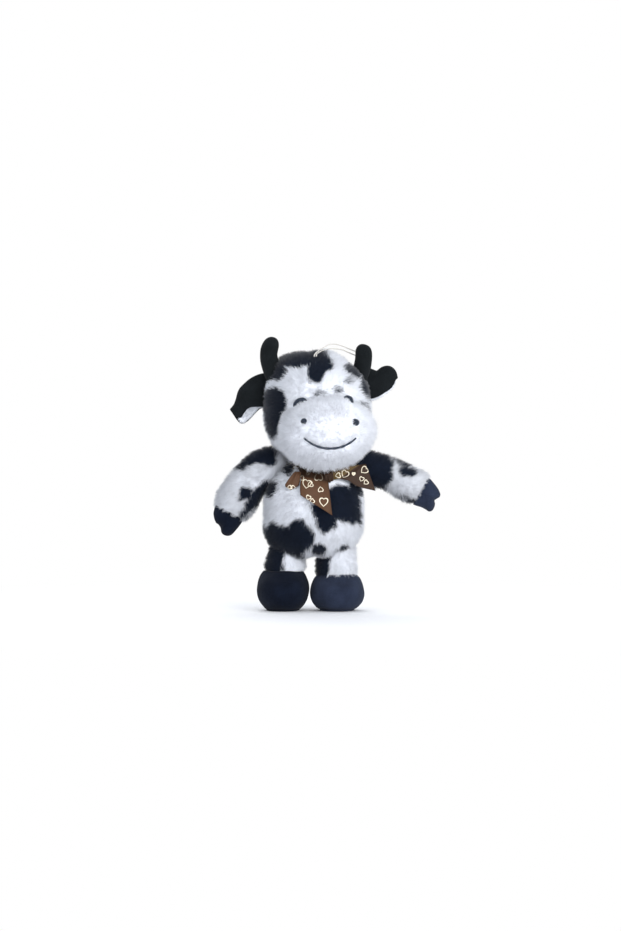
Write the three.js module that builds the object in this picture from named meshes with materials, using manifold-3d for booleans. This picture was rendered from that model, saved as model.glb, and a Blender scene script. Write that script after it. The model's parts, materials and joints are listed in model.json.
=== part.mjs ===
// A plush cow of about 25 cm that stands on its own two feet.
// Millimetres, +Z up. The face looks along -Y, and +X is on the right of someone facing it.
// Every sewn piece is a skin of its own, the stuffing inside is a separate solid, and limbs,
// ears, head and tail turn about the seams that hold them.
import * as THREE from 'three';
import { mergeVertices } from 'three/addons/utils/BufferGeometryUtils.js';
import Module from 'manifold-3d';

const wasm = await Module();
wasm.setup();

// Fabrics and clearances
const seamGap = 0.3;
const swingGap = 1.7;
const plushThickness = 6;
const fleeceThickness = 2.4;
const soleThickness = 1.2;
const ribbonThickness = 0.8;
const ribbonWidth = 25;
const threadDiameter = 1.2;
const stitchHeight = 1.2;
const cutReach = 160;
const weldDistance = 0.0005;

// Torso, pear shaped. The profile is in shares of its half width and of its height.
const torsoWidth = 93.5;
const torsoDepth = 76;
const torsoHeight = 103;
const hipSeatDepth = 13;
const torsoFootOffset = -1.4;
const torsoLean = 4.4;
const bellyForward = 3;
const bellyTopShare = 0.75;
const torsoProfileShares = [
  [0, 0], [0.4, 0.012], [0.7, 0.07], [0.89, 0.155], [0.985, 0.265], [1, 0.38], [0.985, 0.515],
  [0.945, 0.62], [0.85, 0.705], [0.71, 0.775], [0.58, 0.83], [0.54, 0.9], [0.42, 0.975], [0, 1],
];

// Neck seam, where the head turns
const neckOffset = 3;
const neckRadius = 28.5;
const neckSeamShare = 0.8835;

// Head, an egg that sits on the neck seam and is turned a little to the right
const headWidth = 101;
const headDepth = 97;
const headHeight = 109;
const headPlumpness = 2.15;
const headOffset = 1;
const headSeatShare = 0.4358;
const headTurn = THREE.MathUtils.degToRad(8.5);

// Muzzle, a big stuffed pad on the lower half of the face
const muzzleWidth = 92;
const muzzleDepth = 64;
const muzzleHeight = 70;
const muzzlePlumpness = 1.85;
const muzzleOffset = 3.5;
const muzzleForwardShare = 0.3918;
const muzzleDropShare = 0.1881;

// Stitched face
const nostrilSpacing = 48.4;
const nostrilWidth = 5.4;
const nostrilHeight = 6.4;
const nostrilRise = 8.5;
const mouthWidth = 48.4;
const mouthSag = 9.6;
const mouthDrop = 6.9;
const mouthStroke = 1.5;
const eyeOffset = -0.5;
const eyeSpacing = 40;
const eyeRadius = 7;
const eyeStroke = 2.6;
const eyeRiseShare = 0.379;
const eyeArc = THREE.MathUtils.degToRad(75);

// Horns, two stubby stuffed fleece horns on the crown
const hornRadius = 8.5;
const hornLength = 45;
const hornSpacingShare = 0.8416;
const hornForwardShare = 0.01;
const hornRiseShare = 0.1881;
const hornPathShares = {
  left: [[0.16, 0, 0], [0.02, 0, 0.36], [-0.04, 0, 0.66], [0.07, 0, 1]],
  right: [[-0.16, 0, 0], [0, 0, 0.33], [0.06, 0, 0.6], [0.05, 0, 0.88]],
};
const hornRadiusShares = [0.86, 0.95, 1, 0.98, 0.9];

// Ears, each a leaf folded along its upper edge. Three lines shape one: the fold, the edge of
// its front flap and the edge of its back flap, all as shares of the ear's length.
const earLength = 32;
const earSpacingShare = 0.911;
const earRiseShare = 0.1606;
const earBackShare = 0.1443;
const earThickness = 2.6;
const earLiningThickness = 1.6;
const earHingeOut = 3;
const earSwing = THREE.MathUtils.degToRad(20);
const earShares = {
  left: {
    fold: [[0.3, 0.3], [0, 0.44], [-0.31, 0.3], [-0.59, 0.01], [-0.72, -0.28], [-0.88, -0.58]],
    front: [[0.3, -0.4], [0, -0.45], [-0.33, -0.48], [-0.47, -0.65], [-0.58, -0.78], [-0.78, -0.8]],
    back: [[0.3, -0.5], [0, -0.6], [-0.18, -0.72], [-0.37, -0.9], [-0.58, -0.96], [-0.78, -0.86]],
    frontOut: 0.19,
    backOut: 0.19,
  },
  right: {
    fold: [[-0.3, 0.4], [0, 0.57], [0.32, 0.54], [0.6, 0.64], [0.76, 0.57], [0.84, 0.38]],
    front: [[-0.3, -0.2], [0, -0.26], [0.2, -0.25], [0.46, -0.12], [0.67, 0.04], [0.81, 0.25]],
    back: [[-0.3, -0.22], [0, -0.3], [0.22, -0.3], [0.49, -0.17], [0.71, 0], [0.84, 0.23]],
    frontOut: 0.12,
    backOut: 0.16,
  },
};

// Arms, each bent in the frontal plane, with a ball root seated in the torso and a cloven hoof
const armLength = 74;
const armRadius = 17.6;
const armDepthShare = 0.94;
const shoulderRadius = 13;
const shoulderBack = 6;
const shoulderOutShares = { left: -0.866, right: 0.877 };
const shoulderRiseShare = 0.7718;
const armPathShares = {
  left: [
    [0.1, 0, 0.04], [0, 0, 0.05], [-0.15, -0.01, -0.01], [-0.3, -0.03, -0.16], [-0.425, -0.045, -0.33],
    [-0.49, -0.055, -0.47], [-0.545, -0.07, -0.607],
  ],
  right: [
    [-0.1, 0, 0.04], [0, 0, 0.05], [0.2, -0.02, 0.02], [0.39, -0.035, -0.025], [0.59, -0.05, -0.115],
    [0.73, -0.06, -0.2], [0.843, -0.07, -0.3],
  ],
};
const armRadiusShares = [0.9, 1.04, 1.08, 1.05, 1.04, 1.05, 1.03, 0.97];
const cuffShare = 0.92;
const cuffTilt = {
  left: THREE.MathUtils.degToRad(6),
  right: THREE.MathUtils.degToRad(14),
};

// The two toes of each hoof, from a root inside the cuff to a tip, as shares of the arm's radius
const toeRadius = 8;
const toeRadiusShares = [1, 1, 0.95, 0.86, 0.78];
const toeDepthShare = 1.45;
const toeShares = {
  left: [
    { root: { along: -0.45, out: -0.34 }, tip: { along: 0.7, out: -0.3 } },
    { root: { along: -0.45, out: 0.38 }, tip: { along: 1.04, out: 0.42 } },
  ],
  right: [
    { root: { along: -0.45, out: -0.34 }, tip: { along: 0.94, out: -0.26 } },
    { root: { along: -0.45, out: 0.36 }, tip: { along: 0.92, out: 0.5 } },
  ],
};

// Legs and feet. The foot's sections are shares of its own width, depth and height.
const legSpacing = 47.8;
const legMiddleOffset = -1.6;
const legRadius = 19.3;
const legDepthShare = 0.97;
const hipRadius = 15;
const hipThroatRadius = 6;
const hipHeight = 60;
const leftAnkleHeight = 36;
const rightAnkleHeight = 33;
const leftFootWidth = 48;
const rightFootWidth = 50;
const leftFootOut = 2;
const footDepth = 60;
const footForward = 7;
const footBottomCut = 1.5;
const footSectionShares = [
  { height: -0.1, width: 0.46, depth: 0.5, forward: 0.9 },
  { height: 0, width: 0.64, depth: 0.68, forward: 0.95 },
  { height: 0.1, width: 0.77, depth: 0.82, forward: 0.97 },
  { height: 0.24, width: 0.92, depth: 0.94, forward: 1 },
  { height: 0.44, width: 1, depth: 1, forward: 1 },
  { height: 0.66, width: 0.96, depth: 0.91, forward: 0.85 },
  { height: 0.85, width: 0.87, depth: 0.75, forward: 0.55 },
  { height: 1, width: 0.81, depth: 0.65, forward: 0.3 },
  { height: 1.3, width: 0.72, depth: 0.56, forward: 0.1 },
];

// Tail, a thin plush tube with a tuft, on the back of the torso
const tailRadius = 4;
const tailLength = 46;
const tailRootShare = 0.262;
const tailPathShares = [
  [0, -0.12, 0.1], [0, 0.1, 0], [-0.1, 0.2, -0.28], [-0.27, 0.22, -0.58], [-0.42, 0.26, -0.88],
];
const tuftRadius = 7;
const tuftLength = 22;

// Joint limits that the limbs are cut to clear, as angles from the pose in which they are sewn
const shoulderSwingDegrees = {
  left: [-5, 20, 45],
  right: [-35, -12, 12],
};
const hipSwingDegrees = [-12, 11, 34];
const tailSwingDegrees = [0, 25, 50];

// Neck ribbon with a loop, a knot and two cut tails
const bandHeight = 5;
const bandTopDrop = 0.6;
const bandStandOff = 0.5;
const bandKnotGapShare = 0.06;
const knotWidth = 13;
const knotDepth = 9;
const knotHeight = 13;
const knotPlumpness = 2.6;
const knotOffset = 14;
const knotStandOff = 5.1;
const knotDrop = 14.5;
const ribbonStandOff = 2;
const chestEdgeShare = 0.98;
const frontTailShares = {
  topLeft: [-1.1, -0.36],
  topRight: [-0.06, -0.42],
  bottomLeft: [-1.04, -1.24],
  bottomRight: [0.12, -2],
};
const sideTailShares = {
  topLeft: [0.2, -0.42],
  topRight: [1.36, -0.3],
  bottomLeft: [0.14, -0.84],
  bottomRight: [1.68, -1.06],
};
const sideTailBackShare = 0.42;
const loopLength = 23;
const loopFullness = 8;
const loopHeight = 15;
const loopOffset = -16.5;
const loopStandOff = 3.4;
const loopDrop = 20.5;
const loopTilt = THREE.MathUtils.degToRad(-24);

// Hanging thread, one doubled strand from the crown to the back of the right horn and home
const threadStepShare = 2.7;
const threadSides = 8;
const threadRoute = [
  [-0.6, -26.4, 233.6], [-1.1, -26.9, 235.6], [0.6, -25.2, 238.6], [5.5, -19.5, 242.2],
  [12, -11.5, 245], [20, -2, 245.4], [28, 8, 243.6], [34, 16, 241.4], [39, 21.2, 239.8],
  [44, 24, 239], [47.2, 25, 236.9], [44.2, 23.6, 234.9], [39, 20.2, 235.6], [33, 14.5, 237.4],
  [26, 6, 239.2], [18, -3.5, 240.2], [11, -11.5, 239.8], [6, -18, 238.6], [3.2, -22.6, 237.4],
  [2.2, -25.6, 235.8], [2.6, -26, 233.8],
];

// Facets, by how large a form is
const fine = { sides: 24, rings: 13 };
const broad = { sides: 20, rings: 12 };
const medium = { sides: 16, rings: 10 };
const small = { sides: 12, rings: 8 };
const tiny = { sides: 8, rings: 7 };

const colours = {
  plush: 0xe3e7f0,
  fleece: 0x1b2633,
  horn: 0x1c2022,
  stitching: 0x35404f,
  ribbon: 0x563c2a,
  thread: 0xe8e6e2,
  filling: 0xf4f3ee,
};

// Closed surfaces

function weld(geometry) {
  const bare = new THREE.BufferGeometry();
  bare.setAttribute('position', geometry.getAttribute('position').clone());
  if (geometry.index) bare.setIndex(geometry.index.clone());
  const merged = mergeVertices(bare, weldDistance);
  const corners = merged.index.array;
  const kept = [];
  for (let start = 0; start < corners.length; start += 3) {
    const [a, b, c] = corners.slice(start, start + 3);
    if (a !== b && b !== c && c !== a) kept.push(a, b, c);
  }
  merged.setIndex(kept);
  return merged;
}

function solid(geometry) {
  const welded = weld(geometry);
  return new wasm.Manifold(new wasm.Mesh({
    numProp: 3,
    vertProperties: new Float32Array(welded.getAttribute('position').array),
    triVerts: new Uint32Array(welded.index.array),
  }));
}

function geometryOf(form) {
  const mesh = form.getMesh();
  const geometry = new THREE.BufferGeometry();
  geometry.setAttribute('position', new THREE.BufferAttribute(mesh.vertProperties, 3));
  geometry.setIndex(new THREE.BufferAttribute(mesh.triVerts, 1));
  return geometry;
}

// The same closed form with its surface moved outwards, or inwards for a negative distance
function grown(geometry, distance) {
  const form = weld(geometry);
  form.computeVertexNormals();
  const position = form.getAttribute('position');
  const normal = form.getAttribute('normal');
  for (let i = 0; i < position.count; i += 1) {
    position.setXYZ(
      i,
      position.getX(i) + normal.getX(i) * distance,
      position.getY(i) + normal.getY(i) * distance,
      position.getZ(i) + normal.getZ(i) * distance,
    );
  }
  form.deleteAttribute('normal');
  return form;
}

// Sections joined into one closed skin between two end points
function closedLoft(start, sections, end) {
  const sides = sections[0].length;
  const points = [start, ...sections.flat(), end];
  const last = points.length - 1;
  const corners = [];
  for (let side = 0; side < sides; side += 1) {
    const next = (side + 1) % sides;
    corners.push(0, 1 + next, 1 + side);
    corners.push(last, last - sides + side, last - sides + next);
    for (let ring = 0; ring < sections.length - 1; ring += 1) {
      const here = 1 + ring * sides;
      const there = here + sides;
      corners.push(here + side, here + next, there + next);
      corners.push(here + side, there + next, there + side);
    }
  }
  const geometry = new THREE.BufferGeometry().setFromPoints(points);
  geometry.setIndex(corners);
  return geometry;
}

// An egg whose outline is a superellipse, rounder than an ellipse above an exponent of 2
function plumpForm(width, depth, height, plumpness, facets) {
  const outline = [];
  for (let ring = 0; ring <= facets.rings; ring += 1) {
    const rise = -Math.cos((Math.PI * ring) / facets.rings);
    const reach = Math.max(0, 1 - Math.abs(rise) ** plumpness) ** (1 / plumpness);
    outline.push(new THREE.Vector2((reach * width) / 2, (rise * height) / 2));
  }
  const form = new THREE.LatheGeometry(outline, facets.sides);
  form.rotateX(Math.PI / 2);
  form.scale(1, depth / width, 1);
  return form;
}

function shareAt(shares, along) {
  const place = along * (shares.length - 1);
  const before = Math.min(Math.floor(place), shares.length - 2);
  return THREE.MathUtils.lerp(shares[before], shares[before + 1], place - before);
}

// A stuffed tube along a path, with round ends and a section that follows the radius shares
function limbForm(path, radius, radiusShares, depthShare, facets) {
  const curve = new THREE.CatmullRomCurve3(path);
  const length = curve.getLength();
  const sections = [];
  for (let ring = 1; ring < facets.rings; ring += 1) {
    const along = (1 - Math.cos((Math.PI * ring) / facets.rings)) / 2;
    const plump = radius * shareAt(radiusShares, along);
    const toEnd = Math.min(along, 1 - along) * length;
    const closing = toEnd < plump ? Math.sqrt(1 - (1 - toEnd / plump) ** 2) : 1;
    sections.push(ringAround(curve, along, plump * closing, plump * closing * depthShare, facets.sides));
  }
  return closedLoft(curve.getPointAt(0), sections, curve.getPointAt(1));
}

function ringAround(curve, along, halfAcross, halfDeep, sides) {
  const centre = curve.getPointAt(along);
  const tangent = curve.getTangentAt(along);
  const back = Math.abs(tangent.y) < 0.9 ? new THREE.Vector3(0, 1, 0) : new THREE.Vector3(1, 0, 0);
  const across = new THREE.Vector3().crossVectors(back, tangent).normalize();
  const deep = new THREE.Vector3().crossVectors(tangent, across);
  const ring = [];
  for (let side = 0; side < sides; side += 1) {
    const turn = (2 * Math.PI * side) / sides;
    const point = centre.clone();
    point.addScaledVector(across, halfAcross * Math.cos(turn));
    point.addScaledVector(deep, halfDeep * Math.sin(turn));
    ring.push(point);
  }
  return ring;
}

// A sheet of cloth: a surface of u and v from 0 to 1, thickened between two distances along
// its normal
function sheetForm(surface, nearSide, farSide, countU, countV) {
  const nudge = 0.001;
  const points = [];
  for (const distance of [nearSide, farSide]) {
    for (let i = 0; i <= countU; i += 1) {
      for (let j = 0; j <= countV; j += 1) {
        const u = THREE.MathUtils.clamp(i / countU, nudge, 1 - nudge);
        const v = THREE.MathUtils.clamp(j / countV, nudge, 1 - nudge);
        const alongU = surface(u + nudge, v).sub(surface(u - nudge, v));
        const alongV = surface(u, v + nudge).sub(surface(u, v - nudge));
        const normal = alongU.cross(alongV).normalize();
        points.push(surface(i / countU, j / countV).addScaledVector(normal, distance));
      }
    }
  }
  const layer = (countU + 1) * (countV + 1);
  const at = (side, i, j) => side * layer + i * (countV + 1) + j;
  const corners = [];
  const quad = (a, b, c, d) => corners.push(a, b, c, a, c, d);
  for (let i = 0; i < countU; i += 1) {
    for (let j = 0; j < countV; j += 1) {
      quad(at(1, i, j), at(1, i + 1, j), at(1, i + 1, j + 1), at(1, i, j + 1));
      quad(at(0, i, j), at(0, i, j + 1), at(0, i + 1, j + 1), at(0, i + 1, j));
    }
  }
  for (let i = 0; i < countU; i += 1) {
    quad(at(0, i, 0), at(0, i + 1, 0), at(1, i + 1, 0), at(1, i, 0));
    quad(at(0, i, countV), at(1, i, countV), at(1, i + 1, countV), at(0, i + 1, countV));
  }
  for (let j = 0; j < countV; j += 1) {
    quad(at(0, 0, j), at(1, 0, j), at(1, 0, j + 1), at(0, 0, j + 1));
    quad(at(0, countU, j), at(0, countU, j + 1), at(1, countU, j + 1), at(1, countU, j));
  }
  const geometry = new THREE.BufferGeometry().setFromPoints(points);
  geometry.setIndex(corners);
  return geometry;
}

function extruded(outline, depth, curveSegments) {
  return new THREE.ExtrudeGeometry(outline, { depth, bevelEnabled: false, curveSegments });
}

// A block that fills everything on one side of a plane through a point
function halfSpace(point, direction) {
  const block = new THREE.BoxGeometry(cutReach, cutReach, cutReach);
  block.translate(0, 0, cutReach / 2);
  const turn = new THREE.Quaternion().setFromUnitVectors(new THREE.Vector3(0, 0, 1), direction);
  block.applyQuaternion(turn);
  block.translate(point.x, point.y, point.z);
  return solid(block);
}

// A copy of a form swung about an axis through a pivot
function swung(geometry, pivot, axis, degrees) {
  const copy = geometry.clone();
  copy.translate(-pivot.x, -pivot.y, -pivot.z);
  copy.applyQuaternion(new THREE.Quaternion().setFromAxisAngle(axis, THREE.MathUtils.degToRad(degrees)));
  copy.translate(pivot.x, pivot.y, pivot.z);
  return copy;
}

// Cuts a form so that it clears its neighbour at each angle that it swings to
function clearOf(form, neighbour, clearance, pivot, axis, angles) {
  const cutter = grown(neighbour, clearance);
  let left = form;
  for (const degrees of angles) left = left.subtract(solid(swung(cutter, pivot, axis, -degrees)));
  return left;
}

function ballAt(place, radius, facets) {
  const ball = new THREE.SphereGeometry(radius, facets.sides, facets.rings);
  ball.rotateX(Math.PI / 2);
  ball.translate(place.x, place.y, place.z);
  return ball;
}

// A seat for such a ball, wide enough that the ball turns in it without its corners touching
function socketAt(place, radius, facets) {
  const flatness = Math.cos(Math.PI / facets.sides) * Math.cos(Math.PI / (2 * facets.rings));
  return ballAt(place, (radius + seamGap) / flatness, facets);
}

function pathFrom(root, shares, length) {
  return shares.map(([x, y, z]) => new THREE.Vector3(
    root.x + x * length,
    root.y + y * length,
    root.z + z * length,
  ));
}

const toy = new THREE.Group();
const head = new THREE.Group();
head.position.set(neckOffset, 0, 0);
head.rotation.z = headTurn;
toy.add(head);

function addPiece(parent, name, form, colour, roughness) {
  const material = new THREE.MeshStandardMaterial({ color: colour, roughness, metalness: 0 });
  const piece = new THREE.Mesh(geometryOf(form), material);
  piece.name = name;
  parent.add(piece);
}

const up = new THREE.Vector3(0, 0, 1);
const down = new THREE.Vector3(0, 0, -1);
const frontal = new THREE.Vector3(0, 1, 0);
const sideways = new THREE.Vector3(1, 0, 0);
const sides = ['left', 'right'];

// Heights that the pieces share

const torsoBottom = hipHeight - hipSeatDepth;
const neckSeamHeight = torsoBottom + neckSeamShare * torsoHeight;
const headMiddleHeight = neckSeamHeight + headSeatShare * headHeight;
const muzzleMiddleHeight = headMiddleHeight - muzzleDropShare * headHeight;
const muzzleForward = muzzleForwardShare * headDepth;

// Torso

const torsoProfile = new THREE.SplineCurve(torsoProfileShares.map(([out, rise]) => new THREE.Vector2(
  (out * torsoWidth) / 2,
  torsoBottom + rise * torsoHeight,
)));
const torsoOutline = torsoProfile.getPoints(fine.rings);

function torsoForm(facets) {
  const form = new THREE.LatheGeometry(torsoProfile.getPoints(facets.rings), facets.sides);
  form.rotateX(Math.PI / 2);
  form.scale(1, torsoDepth / torsoWidth, 1);
  const position = form.getAttribute('position');
  for (let i = 0; i < position.count; i += 1) {
    const middle = torsoMiddle(position.getZ(i));
    position.setX(i, position.getX(i) + middle.x);
    position.setY(i, position.getY(i) + middle.y);
  }
  return form;
}

function torsoMiddle(height) {
  const rise = (height - torsoBottom) / torsoHeight;
  return {
    x: torsoFootOffset + torsoLean * rise,
    y: -bellyForward * Math.sin(Math.PI * THREE.MathUtils.clamp(rise / bellyTopShare, 0, 1)),
  };
}

function torsoHalfWidth(height) {
  const above = torsoOutline.findIndex((point) => point.y >= height);
  const low = torsoOutline[above - 1];
  const high = torsoOutline[above];
  return THREE.MathUtils.mapLinear(height, low.y, high.y, low.x, high.x);
}

const neckSeam = new THREE.Vector3(neckOffset, 0, neckSeamHeight);
const torsoTopCut = halfSpace(neckSeam.clone().setZ(neckSeamHeight - seamGap / 2), up);
const headBottomCut = halfSpace(new THREE.Vector3(0, 0, neckSeamHeight + seamGap / 2), down);
const neckRoom = new THREE.CylinderGeometry(neckRadius, neckRadius, neckSeamHeight, fine.sides);
neckRoom.rotateX(Math.PI / 2);
neckRoom.translate(0, 0, (neckSeamHeight + seamGap) / 2);
const neckClearance = solid(neckRoom);
const torsoSurface = torsoForm(fine);
const torsoLining = torsoForm(medium);

const shoulderHeight = torsoBottom + shoulderRiseShare * torsoHeight;
const pivots = {};
for (const side of sides) {
  pivots[side] = {
    shoulder: new THREE.Vector3(
      torsoMiddle(shoulderHeight).x + (shoulderOutShares[side] * torsoWidth) / 2,
      shoulderBack,
      shoulderHeight,
    ),
    hip: new THREE.Vector3(
      legMiddleOffset + (side === 'left' ? -legSpacing : legSpacing) / 2,
      0,
      hipHeight,
    ),
  };
}

function withSockets(form) {
  let left = form.subtract(torsoTopCut);
  for (const side of sides) {
    left = left.subtract(solid(socketAt(pivots[side].shoulder, shoulderRadius, small)));
    left = left.subtract(solid(socketAt(pivots[side].hip, hipRadius, small)));
  }
  return left;
}

const torsoHollow = solid(grown(torsoLining, -plushThickness));
const torsoStuffing = solid(grown(torsoLining, -plushThickness - seamGap));
addPiece(toy, 'torso_skin', withSockets(solid(torsoSurface).subtract(torsoHollow)), colours.plush, 0.95);
addPiece(toy, 'torso_filling', withSockets(torsoStuffing), colours.filling, 1);

// Head and muzzle, in the frame of the neck

function headForm(facets) {
  const form = plumpForm(headWidth, headDepth, headHeight, headPlumpness, facets);
  form.translate(headOffset, 0, headMiddleHeight);
  return form;
}

function muzzleForm(facets) {
  const form = plumpForm(muzzleWidth, muzzleDepth, muzzleHeight, muzzlePlumpness, facets);
  form.translate(muzzleOffset, -muzzleForward, muzzleMiddleHeight);
  return form;
}

const headSurface = headForm(fine);
const headLining = headForm(medium);
const headClearance = solid(grown(headSurface, seamGap));
const muzzleSurface = muzzleForm(broad);
const muzzleLining = muzzleForm(medium);
const muzzleClearance = solid(grown(muzzleSurface, seamGap));

const headSkin = solid(headSurface).subtract(solid(grown(headLining, -plushThickness)));
const headStuffing = solid(grown(headLining, -plushThickness - seamGap));
addPiece(head, 'head_skin', headSkin.subtract(headBottomCut), colours.plush, 0.95);
addPiece(head, 'head_filling', headStuffing.subtract(headBottomCut), colours.filling, 1);

const muzzleSkin = solid(muzzleSurface).subtract(solid(grown(muzzleLining, -plushThickness)));
const muzzleStuffing = solid(grown(muzzleLining, -plushThickness - seamGap));
const onFace = (form) => form.subtract(headClearance).subtract(neckClearance);
addPiece(head, 'muzzle_skin', onFace(muzzleSkin), colours.plush, 0.95);
addPiece(head, 'muzzle_filling', onFace(muzzleStuffing), colours.filling, 1);

// Stitched patches that follow the curve of the fabric under them

function stitchedPatch(surface, outline, forward) {
  const raised = solid(grown(surface, seamGap + stitchHeight)).subtract(solid(grown(surface, seamGap)));
  const prism = extruded(outline, cutReach, 6);
  prism.rotateX(Math.PI / 2);
  prism.translate(0, -forward, 0);
  return raised.intersect(solid(prism));
}

function crescent(x, z, radius, stroke, middleAngle, halfArc) {
  const outline = new THREE.Shape();
  outline.absarc(x, z, radius, middleAngle - halfArc, middleAngle + halfArc, false);
  outline.absarc(x, z, radius - stroke, middleAngle + halfArc, middleAngle - halfArc, true);
  outline.closePath();
  return outline;
}

function nostrilOutline(x, z) {
  const outline = new THREE.Shape();
  outline.absellipse(x, z, nostrilWidth / 2, nostrilHeight / 2, 0, 2 * Math.PI, false, 0);
  return outline;
}

const mouthRadius = ((mouthWidth / 2) ** 2 + mouthSag ** 2) / (2 * mouthSag);
const mouthHalfArc = Math.asin(mouthWidth / 2 / mouthRadius);
const mouthCentreHeight = muzzleMiddleHeight - mouthDrop - mouthSag + mouthRadius;
const mouthOutline = crescent(
  muzzleOffset,
  mouthCentreHeight,
  mouthRadius + mouthStroke / 2,
  mouthStroke,
  -Math.PI / 2,
  mouthHalfArc,
);
const mouth = stitchedPatch(muzzleSurface, mouthOutline, muzzleForward);
addPiece(head, 'mouth_stitching', mouth, colours.stitching, 0.7);

for (const side of sides) {
  const sign = side === 'left' ? -1 : 1;
  const nostrilX = muzzleOffset + (sign * nostrilSpacing) / 2;
  const nostrilShape = nostrilOutline(nostrilX, muzzleMiddleHeight + nostrilRise);
  const nostril = stitchedPatch(muzzleSurface, nostrilShape, muzzleForward);
  addPiece(head, `${side}_nostril`, nostril, colours.stitching, 0.7);
  const eyeX = eyeOffset + (sign * eyeSpacing) / 2;
  const eyeMiddle = Math.PI / 2 - (sign * eyeArc) / 3;
  const eyeHeight = muzzleMiddleHeight + eyeRiseShare * muzzleHeight;
  const eyeOutline = crescent(eyeX, eyeHeight, eyeRadius, eyeStroke, eyeMiddle, eyeArc / 2);
  const eye = stitchedPatch(headSurface, eyeOutline, 0).subtract(muzzleClearance);
  addPiece(head, `${side}_eye`, eye, colours.stitching, 0.7);
}

// Horns and ears

for (const side of sides) {
  const sign = side === 'left' ? -1 : 1;
  const onHead = (spacingShare, backShare, riseShare) => new THREE.Vector3(
    (sign * spacingShare * headWidth) / 2,
    backShare * headDepth,
    headMiddleHeight + riseShare * headHeight,
  );
  const hornRoot = onHead(hornSpacingShare, -hornForwardShare, hornRiseShare);
  const hornPath = pathFrom(hornRoot, hornPathShares[side], hornLength);
  const hornTube = limbForm(hornPath, hornRadius, hornRadiusShares, 1, small);
  addPiece(head, `${side}_horn`, solid(hornTube).subtract(headClearance), colours.horn, 0.9);

  const earRoot = onHead(earSpacingShare, earBackShare, earRiseShare);
  const hinge = earRoot.clone();
  hinge.x += sign * earHingeOut;
  const lines = earShares[side];
  const lineCurve = (shares, out) => new THREE.CatmullRomCurve3(
    pathFrom(earRoot, shares.map(([x, z]) => [x, out, z]), earLength),
  );
  const fold = lineCurve(lines.fold, 0);
  const front = lineCurve(lines.front, -lines.frontOut);
  const back = lineCurve(lines.back, lines.backOut);
  const leaf = (u, v) => {
    const across = 2 * v - 1;
    const quarter = (Math.abs(across) * Math.PI) / 2;
    const ridge = fold.getPoint(THREE.MathUtils.clamp(u, 0, 1));
    const edge = (across < 0 ? front : back).getPoint(THREE.MathUtils.clamp(u, 0, 1));
    return new THREE.Vector3(
      THREE.MathUtils.lerp(ridge.x, edge.x, 1 - Math.cos(quarter)),
      THREE.MathUtils.lerp(ridge.y, edge.y, Math.sin(quarter)),
      THREE.MathUtils.lerp(ridge.z, edge.z, 1 - Math.cos(quarter)),
    );
  };
  const outward = side === 'left' ? -1 : 1;
  const layers = {
    [`${side}_ear_back`]: { from: 0, to: outward * earThickness, colour: colours.fleece },
    [`${side}_ear_lining`]: {
      from: -outward * (seamGap + earLiningThickness),
      to: -outward * seamGap,
      colour: colours.plush,
    },
  };
  for (const [name, layer] of Object.entries(layers)) {
    const nearSide = Math.min(layer.from, layer.to);
    const farSide = Math.max(layer.from, layer.to);
    const sheet = solid(sheetForm(leaf, nearSide, farSide, 6, 8));
    const swing = [-earSwing, 0, earSwing].map(THREE.MathUtils.radToDeg);
    const clearOfHead = clearOf(sheet, headSurface, seamGap, hinge, up, swing);
    addPiece(head, name, clearOf(clearOfHead, hornTube, seamGap, hinge, up, swing), layer.colour, 0.95);
  }
}

// Arms and hooves

for (const side of sides) {
  const shoulder = pivots[side].shoulder;
  const swingAxis = side === 'left' ? frontal : frontal.clone().negate();
  const path = pathFrom(shoulder, armPathShares[side], armLength);
  const tube = limbForm(path, armRadius, armRadiusShares, armDepthShare, medium);
  const lining = limbForm(path, armRadius, armRadiusShares, armDepthShare, small);
  const curve = new THREE.CatmullRomCurve3(path);
  const cuff = curve.getPointAt(cuffShare);
  const cuffDirection = curve.getTangentAt(cuffShare);
  cuffDirection.applyAxisAngle(swingAxis, cuffTilt[side]);
  const clearTorso = (form, extra) => clearOf(
    form,
    torsoLining,
    swingGap + extra,
    shoulder,
    swingAxis,
    shoulderSwingDegrees[side],
  );

  const body = clearTorso(solid(tube), 0).add(solid(ballAt(shoulder, shoulderRadius, small)));
  const inside = (extra) => {
    const core = clearTorso(solid(grown(lining, -plushThickness - extra)), plushThickness + extra);
    return core.add(solid(ballAt(shoulder, shoulderRadius - plushThickness - extra, tiny)));
  };
  const pastCuff = halfSpace(cuff.clone().addScaledVector(cuffDirection, -seamGap / 2), cuffDirection);
  const beforeCuff = halfSpace(
    cuff.clone().addScaledVector(cuffDirection, seamGap / 2),
    cuffDirection.clone().negate(),
  );
  const skin = body.subtract(inside(0)).subtract(pastCuff);
  addPiece(toy, `${side}_arm_skin`, skin, colours.plush, 0.95);
  addPiece(toy, `${side}_arm_filling`, inside(seamGap), colours.filling, 1);

  let hoof = solid(tube);
  const across = new THREE.Vector3().crossVectors(cuffDirection, swingAxis).normalize();
  const fromCuff = (share) => cuff.clone()
    .addScaledVector(cuffDirection, share.along * armRadius)
    .addScaledVector(across, share.out * armRadius);
  for (const toe of toeShares[side]) {
    const root = fromCuff(toe.root);
    const tip = fromCuff(toe.tip);
    const toePath = [root, root.clone().lerp(tip, 0.5), tip];
    hoof = hoof.add(solid(limbForm(toePath, toeRadius, toeRadiusShares, toeDepthShare, tiny)));
  }
  addPiece(toy, `${side}_hoof`, hoof.subtract(beforeCuff).subtract(inside(0)), colours.fleece, 0.9);
}

// Legs, feet and soles

const ankleHeights = { left: leftAnkleHeight, right: rightAnkleHeight };
const footWidths = { left: leftFootWidth, right: rightFootWidth };
const footMiddles = { left: pivots.left.hip.x - leftFootOut, right: pivots.right.hip.x };

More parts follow.
